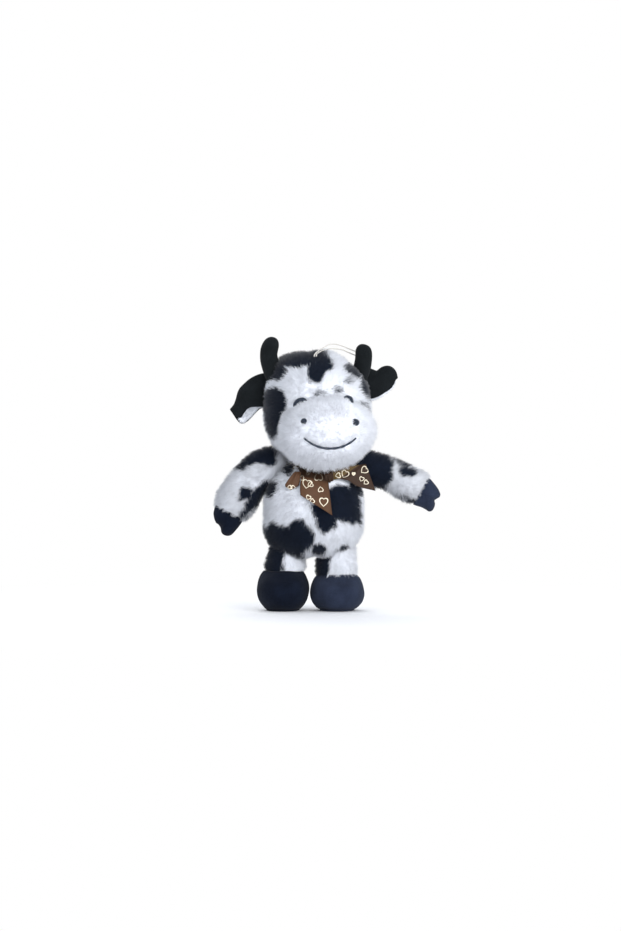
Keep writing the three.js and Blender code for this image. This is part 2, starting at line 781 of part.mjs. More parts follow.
function footForm(side, shrink, facets) {
  const middle = pivots[side].hip.clone().setX(footMiddles[side]);
  const height = ankleHeights[side];
  const sections = footSectionShares.map((share) => {
    const halfWide = (share.width * footWidths[side]) / 2 - shrink;
    const halfDeep = (share.depth * footDepth) / 2 - shrink;
    const ring = [];
    for (let step = 0; step < facets.sides; step += 1) {
      const turn = (2 * Math.PI * step) / facets.sides;
      ring.push(new THREE.Vector3(
        middle.x + halfWide * Math.cos(turn),
        middle.y - share.forward * footForward + halfDeep * Math.sin(turn),
        share.height * height,
      ));
    }
    return ring;
  });
  const first = footSectionShares[0];
  const last = footSectionShares[footSectionShares.length - 1];
  const start = new THREE.Vector3(middle.x, middle.y - first.forward * footForward, first.height * height);
  const end = new THREE.Vector3(middle.x, middle.y - last.forward * footForward, last.height * height);
  return closedLoft(start, sections, end);
}

for (const side of sides) {
  const hip = pivots[side].hip;
  const ankle = ankleHeights[side];
  const legPath = [
    hip.clone().setZ(ankle - legRadius),
    hip.clone().setZ(ankle),
    hip.clone(),
    hip.clone().setZ(hip.z + hipRadius),
  ];
  const tube = limbForm(legPath, legRadius, [1, 1], legDepthShare, medium);
  const lining = limbForm(legPath, legRadius, [1, 1], legDepthShare, small);
  const forwardAxis = sideways.clone().negate();
  const clearTorso = (form, extra) => clearOf(
    form,
    torsoLining,
    swingGap + extra,
    hip,
    forwardAxis,
    hipSwingDegrees,
  );
  const belowAnkle = halfSpace(new THREE.Vector3(hip.x, hip.y, ankle + seamGap / 2), down);
  const aboveAnkle = halfSpace(new THREE.Vector3(hip.x, hip.y, ankle - seamGap / 2), up);
  const belowSole = halfSpace(new THREE.Vector3(hip.x, hip.y, footBottomCut), down);

  const body = clearTorso(solid(tube), 0).add(solid(ballAt(hip, hipRadius, small)));
  const legHollow = (extra) => {
    const core = clearTorso(solid(grown(lining, -plushThickness - extra)), plushThickness + extra);
    const throat = new THREE.CylinderGeometry(
      hipThroatRadius - extra,
      hipThroatRadius - extra,
      hip.z - ankle,
      small.sides,
    );
    throat.rotateX(Math.PI / 2);
    throat.translate(hip.x, hip.y, (hip.z + ankle) / 2);
    return core.add(solid(throat)).add(solid(ballAt(hip, hipRadius - plushThickness - extra, tiny)));
  };
  const legSkin = body.subtract(legHollow(0)).subtract(belowAnkle);
  addPiece(toy, `${side}_leg_skin`, legSkin, colours.plush, 0.95);

  const footOuter = solid(footForm(side, 0, medium)).subtract(aboveAnkle).subtract(belowSole);
  const footHollow = solid(footForm(side, fleeceThickness, small));
  addPiece(toy, `${side}_foot_skin`, footOuter.subtract(footHollow), colours.fleece, 0.9);

  const footStuffing = solid(footForm(side, fleeceThickness + seamGap, small)).subtract(aboveAnkle);
  const stuffing = legHollow(seamGap).subtract(belowAnkle).add(legHollow(seamGap).intersect(footHollow));
  addPiece(toy, `${side}_leg_filling`, stuffing.add(footStuffing).subtract(belowSole), colours.filling, 1);

  const sole = new THREE.Shape();
  const tread = footSectionShares[1];
  sole.absellipse(
    footMiddles[side],
    hip.y - tread.forward * footForward,
    (tread.width * footWidths[side]) / 2,
    (tread.depth * footDepth) / 2,
    0,
    2 * Math.PI,
    false,
    0,
  );
  addPiece(toy, `${side}_sole`, solid(extruded(sole, soleThickness, 10)), colours.fleece, 0.9);
}

// Tail

const tailRootHeight = torsoBottom + tailRootShare * torsoHeight;
const tailRoot = new THREE.Vector3(
  torsoMiddle(tailRootHeight).x,
  torsoMiddle(tailRootHeight).y + (torsoHalfWidth(tailRootHeight) * torsoDepth) / torsoWidth,
  tailRootHeight,
);
const tailPath = pathFrom(tailRoot, tailPathShares, tailLength);
const tailTube = solid(limbForm(tailPath, tailRadius, [1, 1], 1, tiny));
const tailEnd = tailPath[tailPath.length - 1];
const tuft = plumpForm(2 * tuftRadius, 2 * tuftRadius, tuftLength, 2, small);
tuft.translate(tailEnd.x, tailEnd.y, tailEnd.z);
const tuftClearance = solid(grown(tuft, seamGap));
const tailClear = clearOf(tailTube, torsoSurface, seamGap, tailRoot, sideways, tailSwingDegrees);
addPiece(toy, 'tail', tailClear.subtract(tuftClearance), colours.plush, 0.95);
addPiece(toy, 'tail_tuft', solid(tuft), colours.fleece, 0.95);

// Ribbon: a band in the neck's crease, a knot, a loop and two tails with slanting ends

function chestForward(x, z) {
  const middle = torsoMiddle(z);
  const halfWide = torsoHalfWidth(z);
  const across = THREE.MathUtils.clamp((x - middle.x) / halfWide, -chestEdgeShare, chestEdgeShare);
  return (halfWide * torsoDepth * Math.sqrt(1 - across ** 2)) / torsoWidth - middle.y;
}

const bandTop = neckSeamHeight - bandTopDrop;
const bandSurface = (u, v) => {
  const turn = -Math.PI / 2 + 2 * Math.PI * (bandKnotGapShare / 2 + u * (1 - bandKnotGapShare));
  const height = bandTop - v * bandHeight;
  const middle = torsoMiddle(height);
  const halfWide = torsoHalfWidth(height);
  const halfDeep = (halfWide * torsoDepth) / torsoWidth;
  return new THREE.Vector3(
    middle.x + (halfWide + bandStandOff) * Math.cos(turn),
    middle.y + (halfDeep + bandStandOff) * Math.sin(turn),
    height,
  );
};
const bandSheet = solid(sheetForm(bandSurface, -ribbonThickness, 0, fine.sides, 2));
const torsoClearance = solid(grown(torsoSurface, seamGap));

const knotMiddleHeight = neckSeamHeight - knotDrop;
const knotForward = chestForward(knotOffset, knotMiddleHeight) + knotStandOff;
const knot = plumpForm(knotWidth, knotDepth, knotHeight, knotPlumpness, small);
knot.translate(knotOffset, -knotForward, knotMiddleHeight);
const knotClearance = solid(grown(knot, seamGap));
addPiece(toy, 'neck_band', bandSheet, colours.ribbon, 0.5);
addPiece(toy, 'bow_knot', solid(knot).subtract(torsoClearance), colours.ribbon, 0.5);

// A flat length of ribbon between four corners that stands a little off the chest
function ribbonTail(corners, forwardAt) {
  const corner = ([x, z]) => new THREE.Vector2(
    knotOffset + x * ribbonWidth,
    neckSeamHeight + z * ribbonWidth,
  );
  return (u, v) => {
    const left = corner(corners.topLeft).lerp(corner(corners.bottomLeft), u);
    const right = corner(corners.topRight).lerp(corner(corners.bottomRight), u);
    const place = left.lerp(right, v);
    return new THREE.Vector3(place.x, -forwardAt(place.x, place.y, u, v), place.y);
  };
}

const frontTail = ribbonTail(frontTailShares, (x, z) => chestForward(x, z) + ribbonStandOff);
const frontTailSolid = solid(sheetForm(frontTail, 0, ribbonThickness, 9, 5));
addPiece(
  toy,
  'front_tail',
  frontTailSolid.subtract(knotClearance).subtract(torsoClearance),
  colours.ribbon,
  0.5,
);

const sideTail = ribbonTail(
  sideTailShares,
  (x, z, u, v) => knotForward - sideTailBackShare * ribbonWidth * v,
);
const sideTailSolid = solid(sheetForm(sideTail, 0, ribbonThickness, 3, 8));
addPiece(
  toy,
  'side_tail',
  sideTailSolid.subtract(knotClearance).subtract(torsoClearance),
  colours.ribbon,
  0.5,
);

// The loop is a teardrop ring of ribbon seen from its end
const loopOutline = new THREE.Shape();
loopOutline.absellipse(0, 0, loopLength / 2, loopFullness / 2, 0, 2 * Math.PI, false, 0);
const loopHole = new THREE.Path();
loopHole.absellipse(
  0,
  0,
  loopLength / 2 - ribbonThickness,
  loopFullness / 2 - ribbonThickness,
  0,
  2 * Math.PI,
  true,
  0,
);
loopOutline.holes.push(loopHole);
const loop = extruded(loopOutline, loopHeight, 8);
loop.translate(0, 0, -loopHeight / 2);
loop.rotateY(loopTilt);
const loopForward = chestForward(loopOffset, neckSeamHeight - loopDrop) + loopStandOff;
loop.translate(loopOffset, -loopForward, neckSeamHeight - loopDrop);
const frontTailGap = solid(sheetForm(frontTail, -seamGap, ribbonThickness + seamGap, 9, 5));
addPiece(
  toy,
  'bow_loop',
  solid(loop).subtract(frontTailGap).subtract(torsoClearance).subtract(knotClearance),
  colours.ribbon,
  0.5,
);

// Hanging thread

const threadCurve = new THREE.CatmullRomCurve3(threadRoute.map(([x, y, z]) => new THREE.Vector3(x, y, z)));
const threadSteps = Math.round(threadCurve.getLength() / (threadStepShare * threadDiameter));
const threadSection = new THREE.Shape();
for (let side = 0; side < threadSides; side += 1) {
  const turn = (2 * Math.PI * side) / threadSides;
  const corner = [Math.cos(turn), Math.sin(turn)].map((share) => (share * threadDiameter) / 2);
  if (side === 0) threadSection.moveTo(...corner);
  else threadSection.lineTo(...corner);
}
threadSection.closePath();
const thread = new THREE.ExtrudeGeometry(threadSection, { steps: threadSteps, extrudePath: threadCurve });
addPiece(toy, 'hang_loop', solid(thread), colours.thread, 0.4);

// The finished toy stands on Z = 0 with its footprint centred, the hanging thread aside
toy.updateMatrixWorld(true);
const reach = new THREE.Box3();
toy.traverse((piece) => {
  if (piece.isMesh && piece.name !== 'hang_loop') reach.expandByObject(piece, true);
});
const middle = reach.getCenter(new THREE.Vector3());
toy.position.set(-middle.x, -middle.y, -reach.min.z);

export default toy;
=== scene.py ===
"""A plush cow about 25 cm tall: spotted fur, dark fleece, stitched face, printed ribbon, thread."""

import json
import math

import bmesh
import bpy
import numpy as np
from mathutils import Matrix, Vector, kdtree, noise

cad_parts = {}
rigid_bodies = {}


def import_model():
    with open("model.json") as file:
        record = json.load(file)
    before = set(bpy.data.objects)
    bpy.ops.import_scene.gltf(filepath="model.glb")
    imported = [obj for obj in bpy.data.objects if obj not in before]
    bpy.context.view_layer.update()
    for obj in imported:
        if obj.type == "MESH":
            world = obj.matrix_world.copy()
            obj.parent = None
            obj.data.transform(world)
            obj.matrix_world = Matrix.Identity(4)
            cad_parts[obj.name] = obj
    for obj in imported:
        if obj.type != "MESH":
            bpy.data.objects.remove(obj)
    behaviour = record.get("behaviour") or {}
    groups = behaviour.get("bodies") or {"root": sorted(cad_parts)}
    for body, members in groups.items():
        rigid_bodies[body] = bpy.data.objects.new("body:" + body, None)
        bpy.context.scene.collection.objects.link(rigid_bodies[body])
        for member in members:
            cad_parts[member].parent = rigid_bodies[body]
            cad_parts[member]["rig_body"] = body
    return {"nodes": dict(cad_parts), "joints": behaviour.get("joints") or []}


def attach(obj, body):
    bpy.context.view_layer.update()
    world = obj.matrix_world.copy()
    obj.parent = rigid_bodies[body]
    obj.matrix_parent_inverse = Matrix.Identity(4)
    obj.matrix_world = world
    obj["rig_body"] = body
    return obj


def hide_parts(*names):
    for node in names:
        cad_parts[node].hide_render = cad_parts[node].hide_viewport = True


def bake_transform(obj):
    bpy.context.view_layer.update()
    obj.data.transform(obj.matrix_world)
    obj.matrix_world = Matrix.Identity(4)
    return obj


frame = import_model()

bl_info = {
    "name": "Plush cow",
    "version": (1, 0, 0),
    "blender": (4, 5, 0),
    "location": "3D View > Sidebar > Plush cow",
    "description": "Dresses a plush cow in fur, fleece, printed ribbon and thread",
    "category": "Add Mesh",
}

# Places are millimetres in the toy's own frame. BODY and HEAD bring them to the row frame.
MM = 0.001
NECK = np.array([3.0, 0.0, 138.0])
HEAD_TURN = math.radians(8.5)
SHIFT = np.array(next(j["pos_m"] for j in frame["joints"] if j["name"] == "neck")) / MM - NECK
BODY = Matrix.Translation(Vector(SHIFT) * MM) @ Matrix.Scale(MM, 4)
HEAD = BODY @ Matrix.Translation((NECK[0], 0, 0)) @ Matrix.Rotation(HEAD_TURN, 4, "Z")
HEAD_IN_BODY = np.array(BODY.inverted() @ HEAD)
SIDES = (("left", -1), ("right", 1))

# Eggs of the head: centre, size and plumpness, which is 2 for an ellipse
HEAD_EGG = ((1, 0, 185.5), (101, 97, 109), 2.15)
MUZZLE_EGG = ((3.5, -38, 165), (92, 64, 70), 1.85)
SNOUT_DRAWN_IN = 0.085  # of its left half's width
TORSO_FOOT, TORSO_HEIGHT, TORSO_HALF_WIDTH, TORSO_HALF_DEPTH = 47, 103, 46.75, 38
TORSO_PROFILE = [
    (0, 0), (0.4, 0.012), (0.7, 0.07), (0.89, 0.155), (0.985, 0.265), (1, 0.38), (0.985, 0.515),
    (0.945, 0.62), (0.85, 0.705), (0.71, 0.775), (0.58, 0.83), (0.54, 0.9), (0.42, 0.975), (0, 1),
]
SHOULDERS = {"left": (-38.5, 6, 126.5), "right": (43, 6, 126.5)}
HIPS = {"left": (-25.5, 0, 60), "right": (22.3, 0, 60)}
ANKLES = {"left": 36, "right": 33}
ARM_PATHS = {
    "left": [
        (0.2, 0, 0.08), (0.03, 0, 0.1), (-0.15, -0.01, 0.005), (-0.312, -0.03, -0.155),
        (-0.425, -0.045, -0.33), (-0.49, -0.055, -0.47), (-0.545, -0.07, -0.607),
    ],
    "right": [
        (-0.2, 0, 0.05), (0, 0, 0.06), (0.2, -0.02, 0.03), (0.39, -0.035, -0.02),
        (0.59, -0.05, -0.133), (0.73, -0.06, -0.2), (0.843, -0.07, -0.3),
    ],
}
ARM_LENGTH, ARM_RADIUS, ARM_DEPTH_SHARE = 74, 17.6, 0.94
ARM_RADII = {
    "left": [0.95, 1.05, 1.08, 1.07, 1.12, 1.16, 1.15, 1.07],
    "right": [0.95, 1.05, 1.03, 0.96, 0.92, 0.98, 1.06, 1.0],
}
# Painted shade: the arms' pale dye is lowered, as a share, because they recede into shadow
ARM_PAINTED_SHADE = {"left": 0.86, "right": 0.8}  # of the white of the body's plush
CUFF_SHARE, CUFF_TILT = 0.92, {"left": 6, "right": 14}
# Outlines of the hooves as seen from the front, x and z, and the middle they are seen from
HOOF_OUTLINES = {
    "left": [
        (-90.3, 95.9), (-91.9, 89.4), (-91.3, 83.6), (-89.6, 80.0), (-87.2, 78.4), (-85.2, 75.2),
        (-84.5, 71.5), (-82.6, 69.1), (-79, 68.1), (-75.5, 69.1), (-71, 73.9), (-65.8, 80),
        (-64.2, 83), (-66, 93), (-75, 101), (-86, 101),
    ],
    "right": [
        (107.3, 121.1), (111.1, 117.6), (114.5, 113.1), (117, 109.1), (118, 106.1), (117, 103.7),
        (114.5, 102.2), (112.4, 100.5), (112.8, 97.7), (111.8, 93.7), (109.8, 90.9), (107.3, 90.4),
        (104.1, 92.4), (100.6, 94.2), (96.1, 95.7), (92.5, 97.5), (88, 106), (91, 117), (100, 122),
    ],
}
HOOF_MIDDLES = {"left": (-79, 1.4, 85), "right": (104, 1.3, 106)}
HOOF_HALF_DEPTH = 12
# Painted shade: the left hoof and foot take a darker copy of the fleece than the right ones, on the
# side away from the key lamp
DARK_NAPS = {"left": "left_shaded_nap", "right": "hoof_nap"}

# Spots of the fur: centre and half sizes. In the faint ones half of the strands are dark.
HEAD_SPOTS = [
    (-12, -18, 234.5, 25, 40, 12.5), (10, -42, 228, 10, 26, 9.5), (3.6, -44, 220, 9, 24, 11.8),
    (-35.5, -20, 223, 11, 26, 12), (-38, -25, 190, 14.5, 32, 14.5), (-40, -27, 172, 10.8, 28, 17.5),
    (41, -18, 224, 10.4, 26, 10), (49.5, 0, 206, 6.4, 24, 12.5), (46.8, -30, 188.2, 2, 12, 1.4),
    (7, -50, 200.2, 2.6, 12, 1.4), (4.8, -50, 198.2, 1.7, 10, 1.1), (2.8, -50, 196.6, 1.2, 10, 0.8),
    (24.4, -48, 200.6, 3, 12, 2.1), (-20, 40, 205, 22, 15, 18), (28, 42, 175, 16, 14, 20),
    (-35, 30, 165, 14, 16, 14), (12, 32, 230, 15, 14, 10),
]
HEAD_FAINT_SPOTS = [
    (23.6, -48, 201.4, 4.6, 12, 3.2), (35, -38, 211.5, 5, 12, 4.5), (47, -30, 188.4, 4.2, 14, 3),
    (51, -20, 181.8, 2.6, 14, 4),
]
TORSO_SPOTS = [
    (-22, -25, 65.5, 21.5, 30, 15), (-14.7, -38, 75.4, 8.5, 16, 8.5), (-35, -16, 73, 11, 26, 8),
    (-38, -4, 63, 14, 22, 9), (-7.5, -32, 68, 8, 20, 11), (-13, -26, 55, 7, 20, 8),
    (26.7, -30, 98.4, 19.5, 30, 17.5), (12, -38, 82.8, 9, 22, 12), (9, -38, 92.5, 9.8, 20, 10.5),
    (40, -20, 111.5, 8, 20, 7.5), (37.7, -22, 87.4, 8.5, 22, 10), (5.3, -24, 57, 6, 16, 6.3),
    (28.8, -20, 55.8, 4.2, 16, 2.3), (24.6, -22, 54.2, 2.6, 14, 1.4), (-40.5, -15, 112, 5.6, 24, 8),
    (-23, -22, 131.5, 6.6, 16, 7.5), (15, 38, 100, 18, 12, 22), (-22, 36, 75, 14, 12, 12),
    (-15, 34, 122, 12, 12, 9), (30, 28, 62, 12, 14, 10),
]
ARM_SPOTS = {
    "left": [
        (-46, 0, 144.5, 13.5, 20, 9.5), (-57, 0, 140, 10, 20, 7), (-66, 0, 131.5, 6, 12, 4.6),
        (-40, -5, 138, 7, 16, 6), (-50, -5, 140, 10, 18, 6.5), (-63, 0, 134.5, 6, 14, 5),
        (-61.2, -14, 106.8, 6.8, 16, 6.6), (-66, -14, 101.6, 2.4, 10, 1.8),
        (-44, -6, 111.5, 5.4, 20, 5.4), (-47.5, -4, 107.5, 6.4, 20, 6.4),
        (-51, -4, 103, 6.8, 20, 6.8), (-54.5, -4, 98.5, 6.2, 20, 6.2),
        (-58.4, -5, 94.2, 4.8, 16, 4.8), (-62, -6, 90, 3.7, 14, 3.7),
        (-65.4, -6, 86.6, 2.8, 12, 2.8), (-70, 24, 115, 9, 9, 13),
    ],
    "right": [
        (57.5, -5, 131, 17, 28, 18.5), (60, -5, 113.5, 7.5, 18, 6.5),
        (87.8, -12, 127.6, 7.4, 13, 6), (75.5, 1, 141, 4.4, 8, 2.2), (80.5, 1, 138.4, 4.4, 8, 2.2),
        (85.5, 0, 134.8, 4.6, 9, 2.8), (89.5, -4, 96.6, 5, 13, 5), (80, 22, 118, 10, 9, 8),
    ],
}
ARM_FAINT_SPOTS = {"left": [(-62, -6, 85, 3, 10, 2)], "right": [(82.5, -4, 101.5, 5.5, 12, 3.2)]}
LEG_SPOTS = {"left": [(-42, -5, 48, 18, 28, 22)], "right": [(6, -5, 42, 11.2, 20, 17)]}

# How much the crown rises: places from left to right, and the rise at each
HEAD_LEAN = (
    (-52, -40, -32, -25, -16, -8, 1, 9, 17, 22, 26, 32, 40, 52),
    (2, 5.5, 6.2, 4.2, 1.2, -1.2, 0, 1.6, 0.2, -0.8, -2.4, -2.7, -1.5, 0),
)

# The stitched face, in the head's frame: x and z along each line
SMILE_MIDDLE, SMILE_HALF, SMILE_SAG, SMILE_TOP = 3.0, 23.8, 9.8, 157.9
SMILE_RADII = [0.7, 1.05, 1.1, 1.05, 0.7]
NOSTRILS = {
    "left": [(-22.2, 170.6), (-21.6, 171.8), (-19.9, 172.8), (-17.9, 173.2)],
    "right": [(24.6, 175), (25.5, 173.2), (26.8, 171.2), (27.6, 168.6)],
}
NOSTRIL_RADII = {"left": [1.7, 2.6, 2.7, 1.9], "right": [1.8, 2.8, 3.1, 2.3]}
BROWS = {
    "left": [(-27, 185.8), (-25.3, 188.2), (-22.2, 190.6), (-18.6, 191.9), (-15.2, 191.6)],
    "right": [(18.2, 194.8), (21.6, 194), (24.2, 191.8), (25.1, 189.4), (23.8, 187.2)],
}
BROW_RADII = {"left": [0.9, 2.4, 3.1, 2.6, 1.0], "right": [0.9, 2.5, 3.5, 3.0, 1.2]}

HORN_ROOT, HORN_LENGTH, HORN_RADIUS = (42.5, -0.97, 206), 45, 8.4
HORNS = {
    "left": [(0.16, 0, 0), (0.02, 0, 0.36), (-0.04, 0, 0.66), (0.07, 0, 1)],
    "right": [(-0.16, 0, 0), (-0.01, 0, 0.33), (0.04, 0, 0.6), (0.015, 0, 0.88)],
}

# The edges of a folded ear from root to tip, as shares of its length: x and z, and how far out
EAR_ROOT, EAR_LENGTH = (46, 14, 203), 32
EARS = {
    "left": {
        "fold": [
            (0.3, 0.3), (0, 0.41), (-0.3, 0.32), (-0.52, 0.16), (-0.7, -0.05), (-0.77, -0.3),
            (-0.84, -0.47), (-0.97, -0.62),
        ],
        "front": [
            (0.3, -0.45), (0, -0.5), (-0.3, -0.5), (-0.5, -0.53), (-0.62, -0.67), (-0.73, -0.83),
            (-0.88, -0.76),
        ],
        "back": [
            (0.3, -0.5), (-0.08, -0.54), (-0.25, -0.69), (-0.41, -0.85), (-0.55, -0.96),
            (-0.67, -0.98), (-0.8, -0.86),
        ],
        "out": (-0.19, 0.19),
    },
    "right": {
        "fold": [
            (-0.3, 0.5), (0, 0.62), (0.2, 0.58), (0.42, 0.51), (0.6, 0.62), (0.8, 0.65),
            (0.92, 0.53), (0.965, 0.34),
        ],
        "front": [
            (-0.3, -0.2), (0, -0.26), (0.27, -0.24), (0.56, -0.12), (0.8, 0.05), (0.93, 0.22),
        ],
        "back": [(-0.3, -0.22), (0, -0.3), (0.29, -0.29), (0.59, -0.17), (0.84, 0.02), (0.96, 0.2)],
        "out": (-0.12, 0.16),
    },
}

# Heights on a leg, and at each the middle and the half width of its backing
LEG_HEIGHTS = [35, 40, 47, 54, 60, 72]
LEG_SHAPES = {
    "left": [(-25.7, -25.6, -24.9, -23.6, -23, -24), (16.7, 16.8, 15.8, 14.4, 14.4, 14)],
    "right": [(21.9, 21.7, 21.2, 21, 21.2, 22), (16.7, 16.5, 16.1, 16, 15.8, 15)],
}
LEG_HALF_DEPTH = 16.4
# Foot sections: height as a share of the ankle's, width, depth and how far forward
FOOT_SECTIONS = {
    "left": [
        (0.03, 0.6, 0.64, 0.95), (0.05, 0.68, 0.72, 0.96), (0.11, 0.77, 0.82, 0.97),
        (0.21, 0.88, 0.91, 1), (0.34, 0.96, 0.98, 1), (0.53, 1, 1, 1), (0.71, 0.97, 0.91, 0.85),
        (0.86, 0.89, 0.77, 0.55), (0.96, 0.81, 0.67, 0.32), (1.0, 0.76, 0.6, 0.28),
        (1.0, 0.6, 0.45, 0.25),
    ],
    "right": [
        (0.03, 0.6, 0.64, 0.95), (0.05, 0.69, 0.73, 0.96), (0.1, 0.79, 0.83, 0.97),
        (0.24, 0.93, 0.94, 1), (0.44, 1, 1, 1), (0.66, 0.96, 0.9, 0.85), (0.84, 0.88, 0.74, 0.55),
        (0.96, 0.8, 0.64, 0.32), (1.0, 0.74, 0.57, 0.28), (1.0, 0.6, 0.45, 0.25),
    ],
}
FOOT_WIDTHS, FOOT_MIDDLES = {"left": 48, "right": 50}, {"left": -27.5, "right": 22.3}
FOOT_HALF_DEPTH, FOOT_FORWARD = 30, 7
FOOT_TUCKS = {"left": 0.6, "right": 1.4}  # how far its top is drawn in under the leg's fur
SOLE_WIDE, SOLE_DEEP, SOLE_FORWARD = 0.64, 0.68, 0.95  # of the foot's
SOLE_EDGE = ((0, 0.5), (0, 0.97), (0.15, 0.995), (0.6, 1.005), (1.05, 0.995), (1.2, 0.96))
TAIL_HEIGHT, TAIL_LENGTH, TAIL_RADIUS, TUFT_SIZE = 74, 46, 4, (9, 9, 18)
TAIL_PATH = [
    (0, -0.12, 0.1), (0, 0.1, 0), (-0.1, 0.2, -0.28), (-0.27, 0.22, -0.58), (-0.42, 0.26, -0.88),
]

THREAD_ROUTE = [
    (1.2, -27.4, 232.2), (1.6, -28.2, 234), (4.6, -25.6, 237.2), (9.5, -19.5, 240.6),
    (14.5, -11.5, 243.8), (20.5, -2, 244.9), (28, 8, 243.4), (34, 16, 241.4), (39, 21.2, 239.8),
    (44, 24, 239), (47.2, 25, 236.9), (44.2, 23.6, 234.9), (39, 20.2, 236), (33, 14.5, 238.2),
    (26, 6, 240.4), (18, -3.5, 240.6), (12, -11.5, 239.4), (7.6, -18, 237.6), (4.6, -23.6, 235.6),
    (3.2, -27.4, 234), (3, -27.6, 232.2),
]

# Printed hearts: place on the piece's print map, half size, turn in radians and half the drawn
# line, in mm. The band's print repeats; the other pieces' map is their place seen from the front.
REPEAT = 31
HEART_VALUES = ("Across", "Along", "Size", "Turn", "Line")
HEARTS = {
    "neck_ribbon": [
        (17.4, 3.4, 2.5, 0.1, 0.4), (3.4, 6.2, 1.4, 0.5, 0.32), (5.6, 11.6, 2.2, 0.3, 0.38),
        (8.2, 13.0, 2.2, -0.5, 0.38), (18.9, 15.2, 1.9, 3.1, 0.38), (9.2, 22.4, 1.9, 0.7, 0.38),
        (11.6, 24.6, 1.9, -0.2, 0.38), (20.4, 26.4, 3.0, 3.0, 0.48),
    ],
    "front_ribbon_tail": [
        (5.1, 123.9, 3.6, 3.1, 0.42), (-9.7, 120.9, 2.2, -0.6, 0.34), (-4.8, 125, 1.2, 0.4, 0.34),
        (-5.7, 115.2, 3.8, 0.2, 0.42), (-2.9, 115.6, 2.3, 1.2, 0.36), (6.9, 112, 2.2, 3.0, 0.42),
        (-4.4, 103.5, 2.0, 0.5, 0.42), (-1.1, 100.4, 1.9, 0.9, 0.42), (9.7, 98.9, 3.7, 0.05, 0.55),
    ],
    "side_ribbon_tail": [
        (22.2, 123.8, 2.2, 1.3, 0.44), (28.7, 124.4, 3.2, 0.5, 0.44), (37.1, 125, 1.1, 0, 0.8),
        (46.2, 128.2, 3.2, 0.9, 0.44), (44.2, 120.1, 2.0, 0.4, 0.4), (47.9, 117.2, 2.0, 0.9, 0.4),
    ],
    "bow_loop": [(-21.7, 113.4, 1.6, 1.5, 0.42), (-17.2, 113.2, 1.6, -1.5, 0.42)],
    "knot": [],
}
# Painted shade: the side tail, the band and the knot are dyed darker, as they lie in the muzzle's
# shadow or face away from the lamp
RIBBON_PAINTED_SHADES = {"side_ribbon_tail": 0.38, "neck_ribbon": 0.35, "knot": 0.35}
RIBBON_WIDTH = 25
KNOT_PLACE, KNOT_SIZE = (14.4, 123), (9, 7.5, 11)


# Nodes


def new_material(name, roughness, specular=0.5, sheen=0.0, sheen_roughness=0.5):
    """A node material, with its tree and its main shader."""
    material = bpy.data.materials.new(name)
    material.use_nodes = True
    shader = material.node_tree.nodes["Principled BSDF"]
    shader.inputs["Roughness"].default_value = roughness
    shader.inputs["Specular IOR Level"].default_value = specular
    shader.inputs["Sheen Weight"].default_value = sheen
    shader.inputs["Sheen Roughness"].default_value = sheen_roughness
    return material, material.node_tree, shader


def add(tree, kind, inputs=(), **options):
    """One node, whose inputs are values or the sockets that feed them."""
    made = tree.nodes.new(kind)
    for name, value in options.items():
        setattr(made, name, value)
    for key, value in dict(inputs).items():
        socket = made.inputs[key]
        if isinstance(value, bpy.types.NodeSocket):
            tree.links.new(value, socket)
        else:
            socket.default_value = value
    return made


def calculate(tree, operation, *values):
    return add(tree, "ShaderNodeMath", enumerate(values), operation=operation).outputs[0]


def blend_colours(tree, share, first, second):
    made = add(tree, "ShaderNodeMix", {0: share, 6: first, 7: second}, data_type="RGBA")
    return made.outputs[2]


def ramp(tree, value, start, end, first, last, **options):
    """A number that goes from first to last while the value goes from start to end."""
    inputs = {"Value": value, 1: start, 2: end, 3: first, 4: last}
    return add(tree, "ShaderNodeMapRange", inputs, **options).outputs[0]


def cloud(tree, place, scale, detail):
    inputs = {"Vector": place, "Scale": scale, "Detail": detail}
    return add(tree, "ShaderNodeTexNoise", inputs).outputs["Fac"]


def object_place(tree):
    return add(tree, "ShaderNodeTexCoord").outputs["Object"]


def raise_surface(tree, shader, height, strength, distance):
    inputs = {"Strength": strength, "Distance": distance, "Height": height}
    tree.links.new(add(tree, "ShaderNodeBump", inputs).outputs[0], shader.inputs["Normal"])


def linear(red, green, blue):
    """A colour given as it looks on a screen, 0 to 255."""
    shares = np.array([red, green, blue]) / 255
    return np.where(shares <= 0.04045, shares / 12.92, ((shares + 0.055) / 1.055) ** 2.4)


def rgba(colour):
    return (*[float(part) for part in colour], 1.0)


# Places and shapes


def curve_through(points, count, even=False):
    """Places along a smooth curve through points, and its directions there. Knots are spaced by
    the root of the distance between points, or evenly."""
    points = np.array(points, float)
    padded = np.vstack([2 * points[0] - points[1], points, 2 * points[-1] - points[-2]])
    dense = []
    for i in range(len(points) - 1):
        a, b, c, d = padded[i : i + 4]
        gaps = [1.0 if even else np.linalg.norm(q - p) ** 0.5 for p, q in ((a, b), (b, c), (c, d))]
        start = (b - a) / gaps[0] - (c - a) / (gaps[0] + gaps[1]) + (c - b) / gaps[1]
        end = (c - b) / gaps[1] - (d - b) / (gaps[1] + gaps[2]) + (d - c) / gaps[2]
        start, end = start * gaps[1], end * gaps[1]
        t = np.linspace(0, 1, 24, endpoint=False)[:, None]
        second, third = 3 * (c - b) - 2 * start - end, 2 * (b - c) + start + end
        dense.append(b + start * t + second * t**2 + third * t**3)
    dense = np.vstack([*dense, points[-1:]])
    travelled = np.r_[0, np.cumsum(np.linalg.norm(np.diff(dense, axis=0), axis=1))]
    wanted = np.linspace(0, travelled[-1], count) if np.ndim(count) == 0 else count * travelled[-1]
    steps = np.gradient(dense, travelled, axis=0)
    places, turned = (
        np.column_stack([np.interp(wanted, travelled, column) for column in values.T])
        for values in (dense, steps)
    )
    return places, turned / np.linalg.norm(turned, axis=1)[:, None], travelled[-1]


def share_at(shares, along):
    return np.interp(along, np.linspace(0, 1, len(shares)), shares)


